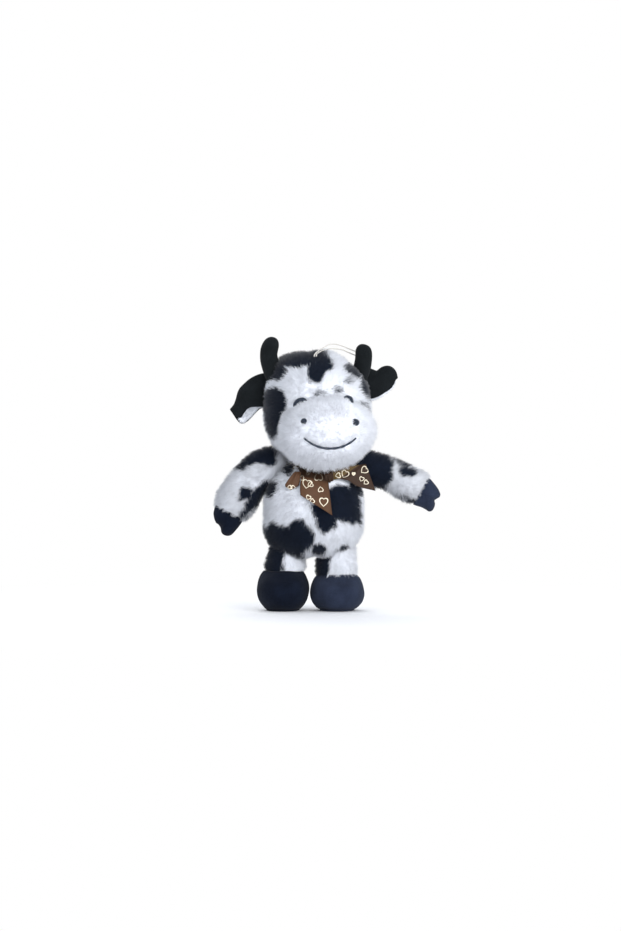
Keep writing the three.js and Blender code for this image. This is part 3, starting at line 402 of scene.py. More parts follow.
def wander(places, size, seed):
    """A smooth random vector at each place, which changes over about size."""
    rng = np.random.default_rng(seed)
    total = np.zeros((len(places), 3))
    for _ in range(8):
        wave = rng.normal(size=3)
        wave *= 2 * math.pi / size * rng.uniform(0.6, 1.4) / np.linalg.norm(wave)
        total += np.sin(places @ wave + rng.uniform(0, 2 * math.pi))[:, None] * rng.normal(size=3)
    return total / 2.8


TORSO_CURVE, _, _ = curve_through(TORSO_PROFILE, 160, even=True)


def torso_section(height):
    """The torso's middle, x and y, its half width and its half depth at a height."""
    rise = (height - TORSO_FOOT) / TORSO_HEIGHT
    half = TORSO_HALF_WIDTH * np.interp(rise, TORSO_CURVE[:, 1], TORSO_CURVE[:, 0])
    belly = -3 * np.sin(np.pi * np.clip(rise / 0.75, 0, 1))
    return -1.4 + 4.4 * rise, belly, half, half * TORSO_HALF_DEPTH / TORSO_HALF_WIDTH


def chest_forward(x, height):
    """How far in front of the middle plane the torso's surface is."""
    middle_x, middle_y, half, deep = torso_section(height)
    across = np.clip((x - middle_x) / np.maximum(half, 1), -0.98, 0.98)
    return deep * np.sqrt(1 - across**2) - middle_y


def in_torso(places, margin):
    middle_x, middle_y, half, deep = torso_section(places[:, 2])
    reach = np.hypot(
        (places[:, 0] - middle_x) / np.maximum(half - margin, 1),
        (places[:, 1] - middle_y) / np.maximum(deep - margin, 1),
    )
    return (reach < 1) & (places[:, 2] > TORSO_FOOT + margin)


def in_head_frame(places):
    inverse = np.linalg.inv(HEAD_IN_BODY)
    return places @ inverse[:3, :3].T + inverse[:3, 3]


def in_toy_frame(places):
    return places @ HEAD_IN_BODY[:3, :3].T + HEAD_IN_BODY[:3, 3]


def in_plump(places, centre, size, plumpness, margin):
    """Whether places in the toy's frame are inside an egg of the head, less a margin."""
    local = (in_head_frame(places) - centre) / (np.array(size) / 2 - margin)
    wide = np.hypot(local[:, 0], local[:, 1])
    return wide**plumpness + np.abs(local[:, 2]) ** plumpness < 1


def in_tube(places, centres, radii, margin):
    gaps = np.linalg.norm(places[:, None] - centres[None], axis=2) - radii[None]
    return gaps.min(axis=1) < -margin


def arm_points(side):
    return np.array(SHOULDERS[side]) + ARM_LENGTH * np.array(ARM_PATHS[side])


def arm_line(side, count):
    return curve_through(arm_points(side), count)


def mirrored(place, sign):
    return np.array([sign * place[0], *place[1:]])


def row_place(place):
    return (place + SHIFT) * MM


# Mesh making


def finish_piece(bm, name, matrix, material, smooth=True):
    """Turns a bmesh in the toy's or the head's frame into an object of the row frame."""
    bm.transform(matrix)
    bmesh.ops.recalc_face_normals(bm, faces=bm.faces)
    mesh = bpy.data.meshes.new(name)
    for face in bm.faces:
        face.smooth = smooth
    bm.to_mesh(mesh)
    bm.free()
    made = bpy.data.objects.new(name, mesh)
    bpy.context.scene.collection.objects.link(made)
    made.data.materials.append(material)
    return made


def dress(piece, node, body=None):
    """Hides the part that a piece stands for, and attaches the piece to what it rides on, if given.
    """
    if body:
        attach(piece, body)
    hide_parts(node)


def plump(bm, centre, size, plumpness, subdivisions):
    """An egg whose outline is a superellipse."""
    made = bmesh.ops.create_icosphere(bm, subdivisions=subdivisions, radius=1)["verts"]
    for vert in made:
        wide = math.hypot(vert.co.x, vert.co.y)
        vert.co /= (wide**plumpness + abs(vert.co.z) ** plumpness) ** (1 / plumpness)
    bmesh.ops.scale(bm, vec=Vector(size) / 2, verts=made)
    bmesh.ops.translate(bm, vec=Vector(centre), verts=made)
    return made


def backing_egg(bm, egg, subdivisions):
    """An egg as far below its pile as the plush backing lies."""
    centre, size, plumpness = egg
    inset = 2 * bpy.context.scene.cow_plush.inset / MM
    return plump(bm, centre, [part - inset for part in size], plumpness, subdivisions)


def pillow(bm, outline, middle, half_depth):
    """A padded shape whose outline from the front is given, round about its middle."""
    closed, _, _ = curve_through([*outline[-2:], *outline, *outline[:3]], 400)
    around = closed[:, 0] - middle[0], closed[:, 1] - middle[2]
    angles, reaches = np.arctan2(around[1], around[0]), np.hypot(*around)
    order = np.argsort(angles)
    made = bmesh.ops.create_icosphere(bm, subdivisions=6, radius=1)["verts"]
    for vert in made:
        share = math.hypot(vert.co.x, vert.co.z)
        angle = math.atan2(vert.co.z, vert.co.x)
        reach = share * np.interp(angle, angles[order], reaches[order], period=2 * math.pi)
        deep = half_depth * abs(vert.co.y) ** 0.9 * math.copysign(1, vert.co.y)
        x, z = reach * math.cos(angle), reach * math.sin(angle)
        vert.co = (middle[0] + x, middle[1] + deep, middle[2] + z)


def ring_matrix(place, direction, half_across, half_deep):
    along = Vector(direction).normalized()
    back = Vector((0, 1, 0)) if abs(along.y) < 0.9 else Vector((1, 0, 0))
    across = back.cross(along).normalized()
    deep = along.cross(across)
    axes = Matrix((across * half_across, deep * half_deep, along)).transposed()
    return Matrix.Translation(Vector(place)) @ axes.to_4x4()


def level_ring(x, y, z, half_wide, half_deep):
    return Matrix.Translation((x, y, z)) @ Matrix.Diagonal((half_wide, half_deep, 1, 1))


def sort_faces(bm):
    """Puts faces in the order of their vertices. Blender's own order changes from run to run, and
    fur is sown face by face."""
    bm.verts.index_update()
    ordered = sorted(bm.faces, key=lambda face: sorted(vert.index for vert in face.verts))
    for index, face in enumerate(ordered):
        face.index = index
    bm.faces.sort()


def loft(bm, rings, sides, shape=None):
    """A closed skin in an empty bmesh through rings, each a matrix for a unit circle. shape may
    change each ring."""
    verts = bmesh.ops.create_circle(bm, cap_ends=False, radius=1, segments=sides)["verts"]
    edges = bm.edges[:]
    if shape:
        for vert in verts:
            vert.co *= shape(math.atan2(vert.co.y, vert.co.x))
    last = Matrix.Identity(4)
    loops = []
    for matrix in rings:
        if loops:
            grown = bmesh.ops.extrude_edge_only(bm, edges=edges)["geom"]
            verts = [part for part in grown if isinstance(part, bmesh.types.BMVert)]
            edges = [part for part in grown if isinstance(part, bmesh.types.BMEdge)]
        bmesh.ops.transform(bm, matrix=matrix @ last.inverted(), verts=verts)
        last = matrix
        loops.append(edges)
    for ends in (loops[0], loops[-1]):
        caps = bmesh.ops.contextual_create(bm, geom=ends)["faces"]
        bmesh.ops.poke(bm, faces=caps)
    bmesh.ops.recalc_face_normals(bm, faces=bm.faces)
    sort_faces(bm)


def round_ends(along, length, radius):
    """How far a tube of this radius has closed at its round ends."""
    to_end = np.minimum(along, 1 - along) * length / np.maximum(radius, 0.01)
    return np.sqrt(np.clip(1 - (1 - np.clip(to_end, 0, 1)) ** 2, 0.0004, 1))


def limb_rings(points, radius, radii, depth_share, count, inset=0.0):
    along = (1 - np.cos(np.pi * (np.arange(1, count) / count))) / 2
    places, directions, length = curve_through(points, along)
    full = radius * share_at(radii, along)
    half = np.maximum(full - inset, 0.3) * round_ends(along, length, full)
    return [
        ring_matrix(place, direction, size, size * depth_share)
        for place, direction, size in zip(places, directions, half)
    ]


def trim(bm, place, direction):
    """Cuts off what lies beyond a plane and closes the cut."""
    everything = bm.verts[:] + bm.edges[:] + bm.faces[:]
    bmesh.ops.bisect_plane(
        bm, geom=everything, plane_co=place, plane_no=direction, clear_outer=True
    )
    rim = [edge for edge in bm.edges if edge.is_boundary]
    caps = bmesh.ops.holes_fill(bm, edges=rim)["faces"]
    bmesh.ops.triangulate(bm, faces=caps)
    sort_faces(bm)


def lump(bm, height, size, seed=0):
    """Moves a surface in and out a little, as stuffing does."""
    bm.normal_update()
    shift = Vector((seed * 7.3, seed * 3.1, seed * 5.7))
    for vert in bm.verts:
        vert.co += vert.normal * height * noise.noise(vert.co / size + shift)


def apply_modifier(piece, kind, **options):
    """Adds a modifier and makes its result the mesh."""
    modifier = piece.modifiers.new(kind.title(), kind)
    for name, value in options.items():
        setattr(modifier, name, value)
    bpy.context.view_layer.update()
    evaluated = piece.evaluated_get(bpy.context.evaluated_depsgraph_get())
    mesh = bpy.data.meshes.new_from_object(evaluated)
    old = piece.data
    piece.modifiers.remove(modifier)
    piece.data = mesh
    bpy.data.meshes.remove(old)


def cut_away(piece, other):
    """Takes the space of another piece out of this one, so that the two only touch."""
    apply_modifier(piece, "BOOLEAN", operation="DIFFERENCE", object=other, solver="MANIFOLD")
    shade_smooth(piece)


def shade_smooth(piece):
    piece.data.polygons.foreach_set("use_smooth", np.ones(len(piece.data.polygons), bool))


# Fur

BACK_DENSITY = 0.8  # of the front's
TUFT, CLUMP = 16, 0.45  # strands in a tuft, and how far their tips are drawn together
# Painted shade: each strand is darker at its root than at its tip, as if the pile shaded itself
ROOT_PAINTED_SHADE = 0.88


def spot_field(spots, seed, faint=()):
    """Millimetres to the nearest dark spot's edge, below zero inside it and zero in a faint one."""

    def field(places):
        moved = places + 1.1 * wander(places, 15, seed) + 0.6 * wander(places, 6, seed + 1)
        nearest = np.full(len(places), 99.0)
        for group, least in ((spots, -99), (faint, 0.4)):
            for spot in group:
                reach = np.linalg.norm((moved - spot[:3]) / spot[3:], axis=1)
                nearest = np.minimum(nearest, np.maximum((reach - 1) * min(spot[3:]), least))
        return nearest - 0.4

    return field


def toy_places(piece):
    co = np.empty(len(piece.data.vertices) * 3)
    piece.data.vertices.foreach_get("co", co)
    return co.reshape(-1, 3) / MM - SHIFT


def paint_skin(piece, field, white=1.0):
    """Gives each point of a skin its dye, dark in the spots, with painted shade: a little darker
    under the pile, and darker still where white is below one.
    """
    plush = bpy.context.scene.cow_plush
    share = np.clip(0.5 - field(toy_places(piece)) / 2.4, 0, 1)[:, None]
    # The pale dye times 0.96 is painted shade on the backing under the pile; white below one is
    # painted shade on the arms
    dye = (1 - share) * np.array(plush.white) * white * 0.96 + share * np.array(plush.black)
    paint(piece.data, dye)


def paint(mesh, dye):
    if "dye" in mesh.color_attributes:
        mesh.color_attributes.remove(mesh.color_attributes["dye"])
    layer = mesh.color_attributes.new("dye", "FLOAT_COLOR", "POINT")
    dye = np.column_stack([dye, np.ones(len(dye))])
    layer.data.foreach_set("color", dye.astype(np.float32).ravel())


def strand_form():
    """Points and faces of one closed strand: three at the root and one at the tip."""
    bm = bmesh.new()
    bmesh.ops.create_cone(bm, cap_ends=True, segments=3, radius1=1, radius2=0, depth=1)
    bmesh.ops.remove_doubles(bm, verts=bm.verts, dist=0.001)
    bmesh.ops.triangulate(bm, faces=bm.faces)
    bmesh.ops.translate(bm, vec=(0, 0, 0.5), verts=bm.verts)
    bm.verts.index_update()
    points = np.array([vert.co[:] for vert in bm.verts])
    faces = np.array([[vert.index for vert in face.verts] for face in bm.faces])
    bm.free()
    return points, faces


def unit(vectors):
    return vectors / np.linalg.norm(vectors, axis=1)[:, None]


def away_from(point):
    return lambda places: places - point


def downwards(places):
    return np.tile([0.0, 0.0, -1.0], (len(places), 1))


def sow(skin, dense, rng):
    """Random places on a skin, and its normals there."""
    mesh = skin.data
    mesh.calc_loop_triangles()
    corners = np.empty(len(mesh.loop_triangles) * 3, np.int32)
    mesh.loop_triangles.foreach_get("vertices", corners)
    corners = corners.reshape(-1, 3)
    normals = np.empty(len(mesh.vertices) * 3)
    mesh.vertices.foreach_get("normal", normals)
    points, normals = toy_places(skin), normals.reshape(-1, 3)
    a, b, c = (points[corners[:, k]] for k in range(3))
    areas = np.linalg.norm(np.cross(b - a, c - a), axis=1) / 2
    strands = bpy.context.scene.cow_plush.strands
    count = int(areas.sum() * strands * dense * (1))
    chosen = np.searchsorted(np.cumsum(areas), rng.random(count) * areas.sum())
    chosen = corners[np.minimum(chosen, len(corners) - 1)]
    u, v = rng.random((2, count))
    fold = u + v > 1
    u, v = np.where(fold, 1 - u, u), np.where(fold, 1 - v, v)
    weights = np.stack([1 - u - v, u, v], axis=1)[:, :, None]
    return (points[chosen] * weights).sum(axis=1), unit((normals[chosen] * weights).sum(axis=1))


def strand_mesh(name, co, form, faces, upward):
    """A mesh of strands, each with its own cell of the map and normals near the skin's."""
    count = len(upward)
    made = bpy.data.meshes.new(name)
    made.vertices.add(count * 4)
    made.vertices.foreach_set("co", row_place(co.reshape(-1, 3)).ravel())
    links = (faces[None] + (np.arange(count) * 4)[:, None, None]).reshape(-1, 3)
    made.loops.add(links.size)
    made.loops.foreach_set("vertex_index", links.ravel().astype(np.int32))
    made.polygons.add(len(links))
    made.polygons.foreach_set("loop_start", np.arange(0, links.size, 3, dtype=np.int32))
    made.polygons.foreach_set("loop_total", np.full(len(links), 3, np.int32))
    made.polygons.foreach_set("use_smooth", np.ones(len(links), bool))
    made.update(calc_edges=True)
    made.validate()
    side = math.ceil(math.sqrt(count))
    cells = np.column_stack([np.arange(count) % side, np.arange(count) // side]) / side
    at_root = form[:, 2] < 0.5
    places = np.column_stack([0.1 + 0.4 * (np.cumsum(at_root) - 1), np.full(4, 0.1)])
    spread = np.where(at_root[:, None], places, np.array([[0.5, 0.9]]))[faces]
    spread[at_root[faces].all(axis=1)] = np.array([[0.1, 0.1], [0.5, 0.16], [0.9, 0.1]])
    uv = cells[:, None, None] + spread[None] / side
    made.uv_layers.new(name="OFBake").data.foreach_set("uv", uv.astype(np.float32).ravel())
    own = np.empty(count * 12)
    made.vertices.foreach_get("normal", own)
    soft = np.repeat(upward, 4, axis=0) * 0.9 + own.reshape(-1, 3) * 0.6
    soft /= np.maximum(np.linalg.norm(soft, axis=1), 0.001)[:, None]
    return made, soft


def grow_fur(
    name, skin, field, comb, seed, keep=None, shorten=None, dense=1.0, long=1.0, lean=0.65,
    whorl=0.001, white=1.0, body=None,
):
    """A piece of closed strands on a skin, which lean along comb and gather into small tufts."""
    plush = bpy.context.scene.cow_plush
    rng = np.random.default_rng(seed)
    roots, upward = sow(skin, dense, rng)
    if keep is not None:
        kept = keep(roots)
        roots, upward = roots[kept], upward[kept]
    count = len(roots)
    along = comb(roots)
    along = along - (along * upward).sum(axis=1)[:, None] * upward
    along /= np.maximum(np.linalg.norm(along, axis=1), whorl)[:, None]
    drift = 0.22 * wander(roots, 16, seed + 2) + 0.18 * wander(roots, 5, seed + 3)
    direction = upward + lean * along + drift + rng.normal(size=(count, 3)) * 0.13
    facing = (direction * upward).sum(axis=1)
    direction = unit(direction + np.maximum(0.35 - facing, 0)[:, None] * upward)
    reach = plush.pile / MM * long * rng.uniform(0.86, 1.22, count)
    if shorten is not None:
        reach = reach * shorten(roots)
    tips = roots + direction * reach[:, None]
    middles = rng.choice(count, max(1, count // TUFT), replace=False)
    tree = kdtree.KDTree(len(middles))
    for index, place in enumerate(roots[middles]):
        tree.insert(place, index)
    tree.balance()
    owner = middles[np.array([tree.find(place)[1] for place in roots])]
    pull = CLUMP * rng.uniform(0.3, 1.0, count)[:, None]
    tips += pull * (tips[owner] - tips)
    form, faces = strand_form()
    lengthwise = tips - roots
    aside = unit(np.cross(lengthwise, rng.normal(size=(count, 3))))
    other = unit(np.cross(lengthwise, aside))
    wide = 1
    radius = plush.strand / MM / 2 * rng.uniform(0.8, 1.2, count) * wide
    sunk = roots - 0.4 * upward
    co = (
        sunk[:, None]
        + (tips - sunk)[:, None] * form[None, :, 2:]
        + radius[:, None, None]
        * (aside[:, None] * form[None, :, :1] + other[:, None] * form[None, :, 1:2])
    )
    edge = field(0.4 * roots + 0.6 * tips) + rng.normal(size=count) * 0.8
    dark = np.clip(0.5 - edge / 1.6, 0, 1)[:, None]
    tone = rng.uniform(0.95, 1.03, (count, 1)) * rng.uniform(0.91, 1.03, (count, 1))[owner]
    # white below one is painted shade, on the arms
    dye = (dark * np.array(plush.black) + (1 - dark) * np.array(plush.white) * white) * tone
    # Painted shade at the strand roots
    shade = np.where(form[:, 2] > 0.5, 1.0, ROOT_PAINTED_SHADE)
    mesh, soft = strand_mesh(name, co, form, faces, upward)
    paint(mesh, (dye[:, None] * shade[None, :, None]).reshape(-1, 3))
    mesh.normals_split_custom_set_from_vertices(soft.tolist())
    piece = bpy.data.objects.new(name, mesh)
    bpy.context.scene.collection.objects.link(piece)
    mesh.materials.append(get_material("plush_pile"))
    if body:
        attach(piece, body)
    return piece


def grow_quarters(name, skin, field, combs, seed, split, seen, shorten):
    """The fur of a body in four pieces, which part at its middle and where the front ends."""
    for part, side, dense in (("front", -1, 1), ("back", 1, BACK_DENSITY)):
        for half, across in SIDES:
            grow_fur(
                f"{name}_fur_{part}_{half}", skin, field, combs[part], seed + side,
                keep=lambda places: seen(places) & (side * (places[:, 1] - split) >= 0)
                & (across * places[:, 0] >= 0),
                shorten=shorten, dense=dense, body=name,
            )


def plush_skin(bm, name, matrix, field, body=None, cut=(), white=1.0):
    """The backing of a plush part, less the space of others, in its dye."""
    skin = finish_piece(bm, f"{name}_plush", matrix, get_material("plush_backing"))
    for other in cut:
        cut_away(skin, bpy.data.objects[f"{other}_plush"])
    paint_skin(skin, field, white)
    dress(skin, f"{name}_skin", body)
    return skin


# Materials


def plush_material(name, roughness):
    """Soft pile whose colour is its dye, a little uneven."""
    material, tree, shader = new_material(name, roughness, 0.18, 0.25, 0.45)
    dye = add(tree, "ShaderNodeAttribute", attribute_name="dye")
    toned = add(tree, "ShaderNodeVectorMath", {0: dye.outputs["Color"]}, operation="SCALE")
    uneven = ramp(tree, cloud(tree, object_place(tree), 60, 3), 0.3, 0.7, 0.9, 1.04)
    tree.links.new(uneven, toned.inputs["Scale"])
    tree.links.new(toned.outputs[0], shader.inputs["Base Color"])
    return material


def fleece_material(name, colour, nap=1.0):
    """Short fleece: matt, with a sheen, a fine nap and paler rubbed places."""
    material, tree, shader = new_material(name, 0.95, 0.06, 0.035)
    place = object_place(tree)
    fine, tufts = cloud(tree, place, 1500, 4), cloud(tree, place, 420, 3)
    colour = np.array(colour)
    rubbed = ramp(tree, cloud(tree, place, 70, 4), 0.35, 0.7, 0, 1)
    base = blend_colours(tree, rubbed, rgba(colour * 0.75), rgba(colour * 1.35 + 0.001))
    speck = ramp(tree, fine, 0.35, 0.7, 0, 0.55)
    flecked = blend_colours(tree, speck, base, rgba(colour * 1.9 + 0.002))
    tree.links.new(flecked, shader.inputs["Base Color"])
    height = calculate(tree, "MULTIPLY_ADD", fine, 0.5, tufts)
    raise_surface(tree, shader, height, 0.5 * nap, 0.0006)
    return material


def heart_group():
    """A node group: how strongly a heart's drawn outline covers a place on the ribbon, in mm."""
    group = bpy.data.node_groups.new("Heart outline", "ShaderNodeTree")
    face = group.interface
    face.new_socket("Place", in_out="INPUT", socket_type="NodeSocketVector")
    for label in HEART_VALUES:
        face.new_socket(label, in_out="INPUT", socket_type="NodeSocketFloat")
    face.new_socket("Ink", in_out="OUTPUT", socket_type="NodeSocketFloat")
    given = group.nodes.new("NodeGroupInput").outputs

    def work(*step):
        return calculate(group, *step)

    centre = add(group, "ShaderNodeCombineXYZ", {0: given["Across"], 1: given["Along"]}).outputs[0]
    moved = add(group, "ShaderNodeVectorMath", {0: given["Place"], 1: centre}, operation="SUBTRACT")
    turned = add(
        group, "ShaderNodeVectorRotate", {"Vector": moved.outputs[0], "Angle": given["Turn"]},
        rotation_type="Z_AXIS",
    )
    parts = add(group, "ShaderNodeSeparateXYZ", {0: turned.outputs[0]}).outputs
    x = work("ABSOLUTE", work("DIVIDE", parts[0], given["Size"]))
    y = work("DIVIDE", parts[1], given["Size"])
    lobe = work("MULTIPLY_ADD", work("SQRT", x), -0.75, work("MULTIPLY", y, 1.15))
    reach = work("SQRT", work("ADD", work("MULTIPLY", x, x), work("MULTIPLY", lobe, lobe)))
    edge = work("MULTIPLY", work("ABSOLUTE", work("SUBTRACT", reach, 1)), given["Size"])
    ink = ramp(group, edge, given["Line"], work("MULTIPLY", given["Line"], 0.55), 0, 1)
    group.links.new(ink, group.nodes.new("NodeGroupOutput").inputs["Ink"])
    return group


def ribbon_material(name):
    """Brown satin with drawn hearts in cream. Painted shade darkens the pieces that lie under the
    muzzle or face away from the lamp.
    """
    ribbon = bpy.context.scene.cow_ribbon
    material, tree, shader = new_material(name + "_satin", 0.5, 0.15)
    uv = add(tree, "ShaderNodeUVMap", uv_map="cloth").outputs[0]
    across, along, _ = add(tree, "ShaderNodeSeparateXYZ", {0: uv}).outputs
    place = add(tree, "ShaderNodeUVMap", uv_map="print").outputs[0]
    group = bpy.data.node_groups.get("Heart outline") or heart_group()
    ink = calculate(tree, "MULTIPLY", across, 0)
    for values in HEARTS[name]:
        heart = tree.nodes.new("ShaderNodeGroup")
        heart.node_tree = group
        tree.links.new(place, heart.inputs["Place"])
        for label, value in zip(HEART_VALUES, values):
            heart.inputs[label].default_value = value
        ink = calculate(tree, "MAXIMUM", ink, heart.outputs["Ink"])
    weft = add(
        tree, "ShaderNodeTexWave", {"Vector": uv, "Scale": 1.6, "Distortion": 0.4, "Detail": 2},
        bands_direction="Y",
    ).outputs["Fac"]
    # Painted shade for some pieces
    brown = np.array(ribbon.colour) * RIBBON_PAINTED_SHADES.get(name, 1)
    satin = blend_colours(tree, cloud(tree, uv, 0.35, 3), rgba(brown * 0.72), rgba(brown * 1.2))
    satin = blend_colours(tree, calculate(tree, "MULTIPLY", weft, 0.14), satin, rgba(brown * 1.8))
    edge = calculate(tree, "MINIMUM", across, calculate(tree, "SUBTRACT", RIBBON_WIDTH, across))
    satin = blend_colours(tree, ramp(tree, edge, 0.4, 0.8, 0.5, 0), satin, rgba(brown * 0.4))
    if name == "side_ribbon_tail":
        # Above its fold the satin is painted a lighter olive: partly the satin's olive back, partly
        # painted light where the upper layer catches the lamp
        x, z, _ = add(tree, "ShaderNodeSeparateXYZ", {0: place}).outputs
        beyond = calculate(
            tree, "ADD", calculate(tree, "MULTIPLY_ADD", z, 0.811, -98.4),
            calculate(tree, "MULTIPLY_ADD", x, -0.583, 14.46),
        )
        turned = ramp(tree, beyond, -0.5, 0.5, 0, 0.85)
        satin = blend_colours(tree, turned, satin, rgba(linear(98, 80, 50)))
    printed = blend_colours(tree, ink, satin, rgba(ribbon.ink))
    if name == "front_ribbon_tail":
        # Painted shadow: darker near the top, where it comes out from under the muzzle
        muzzle_shadow = ramp(tree, along, 15.5, 11.5, 0, 0.86, interpolation_type="SMOOTHSTEP")
        printed = blend_colours(tree, muzzle_shadow, printed, rgba(brown * 0.22))
    tree.links.new(printed, shader.inputs["Base Color"])
    tree.links.new(ramp(tree, ink, 0, 1, 0.48, 0.7), shader.inputs["Roughness"])
    height = calculate(tree, "MULTIPLY_ADD", ink, 0.8, calculate(tree, "MULTIPLY", weft, 0.5))
    raise_surface(tree, shader, height, 0.3, 0.0001)
    return material


def thread_material(name, colour, scale):
    """Twisted or stitched thread with fine glossy strands."""
    material, tree, shader = new_material(name, 0.6, 0.25, 0.05)
    ply = add(
        tree, "ShaderNodeTexWave",
        {"Vector": object_place(tree), "Scale": scale, "Distortion": 1.5, "Detail": 2},
        bands_direction="DIAGONAL",
    ).outputs["Fac"]
    colour = np.array(colour)
    strands = blend_colours(tree, ply, rgba(colour * 0.6), rgba(np.minimum(colour * 1.15, 0.9)))
    tree.links.new(strands, shader.inputs["Base Color"])
    raise_surface(tree, shader, ply, 0.6, 0.0002)
    return material


def get_material(name):
    """The named material, made the first time that it is asked for."""
    known = bpy.data.materials.get(name)
    if known:
        return known
    scene = bpy.context.scene
    makers = {
        "plush_backing": lambda: plush_material(name, 0.95),
        "plush_pile": lambda: plush_material(name, 0.85),
        "hoof_nap": lambda: fleece_material(name, scene.cow_fleece.hoof),
        # The left side's nap is a darker copy of the right's, as painted shade
        "left_shaded_nap": lambda: fleece_material(name, scene.cow_fleece.foot),
        "horn_nap": lambda: fleece_material(name, scene.cow_fleece.horn, 0.8),
        "face_stitches": lambda: thread_material(name, scene.cow_thread.face, 260),
        "hanging_plies": lambda: thread_material(name, scene.cow_thread.loop, 420),
        "stuffing": lambda: fleece_material(name, (0.82, 0.82, 0.78)),
    }
    return makers[name]()


# Settings


def length_setting(name, description, default, **limits):
    return bpy.props.FloatProperty(
        name=name, description=description, default=default, unit="LENGTH", **limits
    )


def colour_setting(name, description, *screen):
    """A colour whose default is given as it looks on a screen."""
    return bpy.props.FloatVectorProperty(
        name=name, description=description, subtype="COLOR", default=tuple(linear(*screen)),
        min=0, max=1,
    )


class PlushSettings(bpy.types.PropertyGroup):
    pile: length_setting("Pile", "Length of the fur", 0.0045, min=0.001)
    strand: length_setting("Strand", "Width of a strand at its root", 0.00042, min=0.0001)
    strands: bpy.props.FloatProperty(
        name="Strands", description="Strands on a square millimetre", default=2.2, min=0.1
    )
    inset: length_setting("Inset", "How far the backing lies below the pile", 0.0034)
    white: colour_setting("White", "Pale dye of the fur", 243, 246, 253)
    black: colour_setting("Black", "Dark dye of the spots", 15, 25, 42)


class FleeceSettings(bpy.types.PropertyGroup):
    hoof: colour_setting("Right side", "Fleece of the right foot and hoof", 31, 37, 52)
    # Painted shade: the left side's fleece is a darker copy of the right side's
    foot: colour_setting("Left side", "The darker fleece of the left foot and hoof", 9, 15, 27)
    horn: colour_setting("Horns", "Fleece of the horns and ears", 17, 20, 22)


class ThreadSettings(bpy.types.PropertyGroup):
    face: colour_setting("Face", "Thread of the stitched face", 44, 52, 66)
    loop: colour_setting("Loop", "Thread that the toy hangs on", 222, 218, 211)
    width: length_setting("Width", "Thickness of the hanging thread", 0.0012)


class RibbonSettings(bpy.types.PropertyGroup):
    thickness: length_setting("Thickness", "Thickness of the satin", 0.0003)
    colour: colour_setting("Colour", "Satin of the ribbon", 80, 55, 38)
    ink: colour_setting("Print", "Ink of the hearts", 236, 226, 202)


class StageSettings(bpy.types.PropertyGroup):
    lens: bpy.props.FloatProperty(
        name="Lens", description="Focal length in millimetres", default=85
    )
    distance: length_setting("Distance", "From the camera to the toy", 2.022)
    key: bpy.props.FloatProperty(name="Key", description="Main lamp in watts", default=16.5)
    fill: bpy.props.FloatProperty(name="Fill", description="Second lamp in watts", default=4)
    sky: bpy.props.FloatProperty(name="Sky", description="Light from all sides", default=0.95)


# Pieces


class COW_OT_stage(bpy.types.Operator):
    """Camera at the photograph's angle, three soft lamps, pale surroundings and a pale floor"""

    bl_idname = "cow.stage"
    bl_label = "Stage"

    def execute(self, context):
        stage = context.scene.cow_stage
        camera = bpy.data.objects.new("camera", bpy.data.cameras.new("camera"))
        camera.data.lens = stage.lens
        camera.location = (-0.016, -stage.distance, 0.133)
        camera.rotation_euler = (math.pi / 2, 0, 0)
        context.scene.collection.objects.link(camera)
        context.scene.camera = camera
        context.scene.view_settings.view_transform = "Standard"
        toy = Vector((-0.01, 0, 0.12))
        for name, place, size, watts in (
            ("key_lamp", (0.7, -1.25, 0.36), 0.9, stage.key),
            ("fill_lamp", (-0.5, -1.3, 0.07), 1.0, stage.fill),
            ("back_lamp", (-0.2, 1.0, 1.0), 0.8, stage.fill * 1.8),
        ):
            lamp = bpy.data.objects.new(name, bpy.data.lights.new(name, "AREA"))
            lamp.data.size = size
            lamp.data.energy = watts
            lamp.location = place
            lamp.rotation_euler = (toy - Vector(place)).to_track_quat("-Z", "Y").to_euler()
            context.scene.collection.objects.link(lamp)
        self.surround(context.scene, stage.sky)
        self.lay_floor()
        return {"FINISHED"}

    def surround(self, scene, sky):
        """Cool light from all sides, and plain white where the camera or a reflection sees it."""
        scene.world = bpy.data.worlds.new("surroundings")
        scene.world.use_nodes = True
        tree = scene.world.node_tree
        tree.nodes.clear()
        path = add(tree, "ShaderNodeLightPath").outputs
        soft = add(tree, "ShaderNodeBackground", {0: (0.9, 0.94, 1, 1), 1: sky}).outputs[0]
        seen = add(tree, "ShaderNodeBackground", {0: (1, 1, 1, 1), 1: 1}).outputs[0]
        either = calculate(tree, "MAXIMUM", path["Is Camera Ray"], path["Is Glossy Ray"])
        either = calculate(tree, "MAXIMUM", either, path["Is Transmission Ray"])
        mixed = add(tree, "ShaderNodeMixShader", {0: either, 1: soft, 2: seen})
        add(tree, "ShaderNodeOutputWorld", {0: mixed.outputs[0]})

    def lay_floor(self):
        """A round floor that takes the toy's shadow and fades to white away from it."""
        bm = bmesh.new()
        bmesh.ops.create_circle(bm, cap_ends=True, radius=5, segments=96)
        material, tree, shader = new_material("pale_floor", 0.9)
        floor = finish_piece(bm, "floor", Matrix.Translation((0, 0, -0.0003)), material, False)
        shader.inputs["Base Color"].default_value = (0.88, 0.88, 0.89, 1)
        away = add(tree, "ShaderNodeVectorMath", {0: object_place(tree)}, operation="LENGTH")
        far = ramp(tree, away.outputs["Value"], 0.12, 0.5, 0, 1, interpolation_type="SMOOTHSTEP")
        path = add(tree, "ShaderNodeLightPath").outputs
        share = calculate(tree, "MULTIPLY", far, path["Is Camera Ray"])
        white = add(tree, "ShaderNodeEmission", {0: (1, 1, 1, 1), 1: 1}).outputs[0]
        mixed = add(tree, "ShaderNodeMixShader", {0: share, 1: shader.outputs[0], 2: white})
        tree.links.new(mixed.outputs[0], tree.nodes["Material Output"].inputs[0])


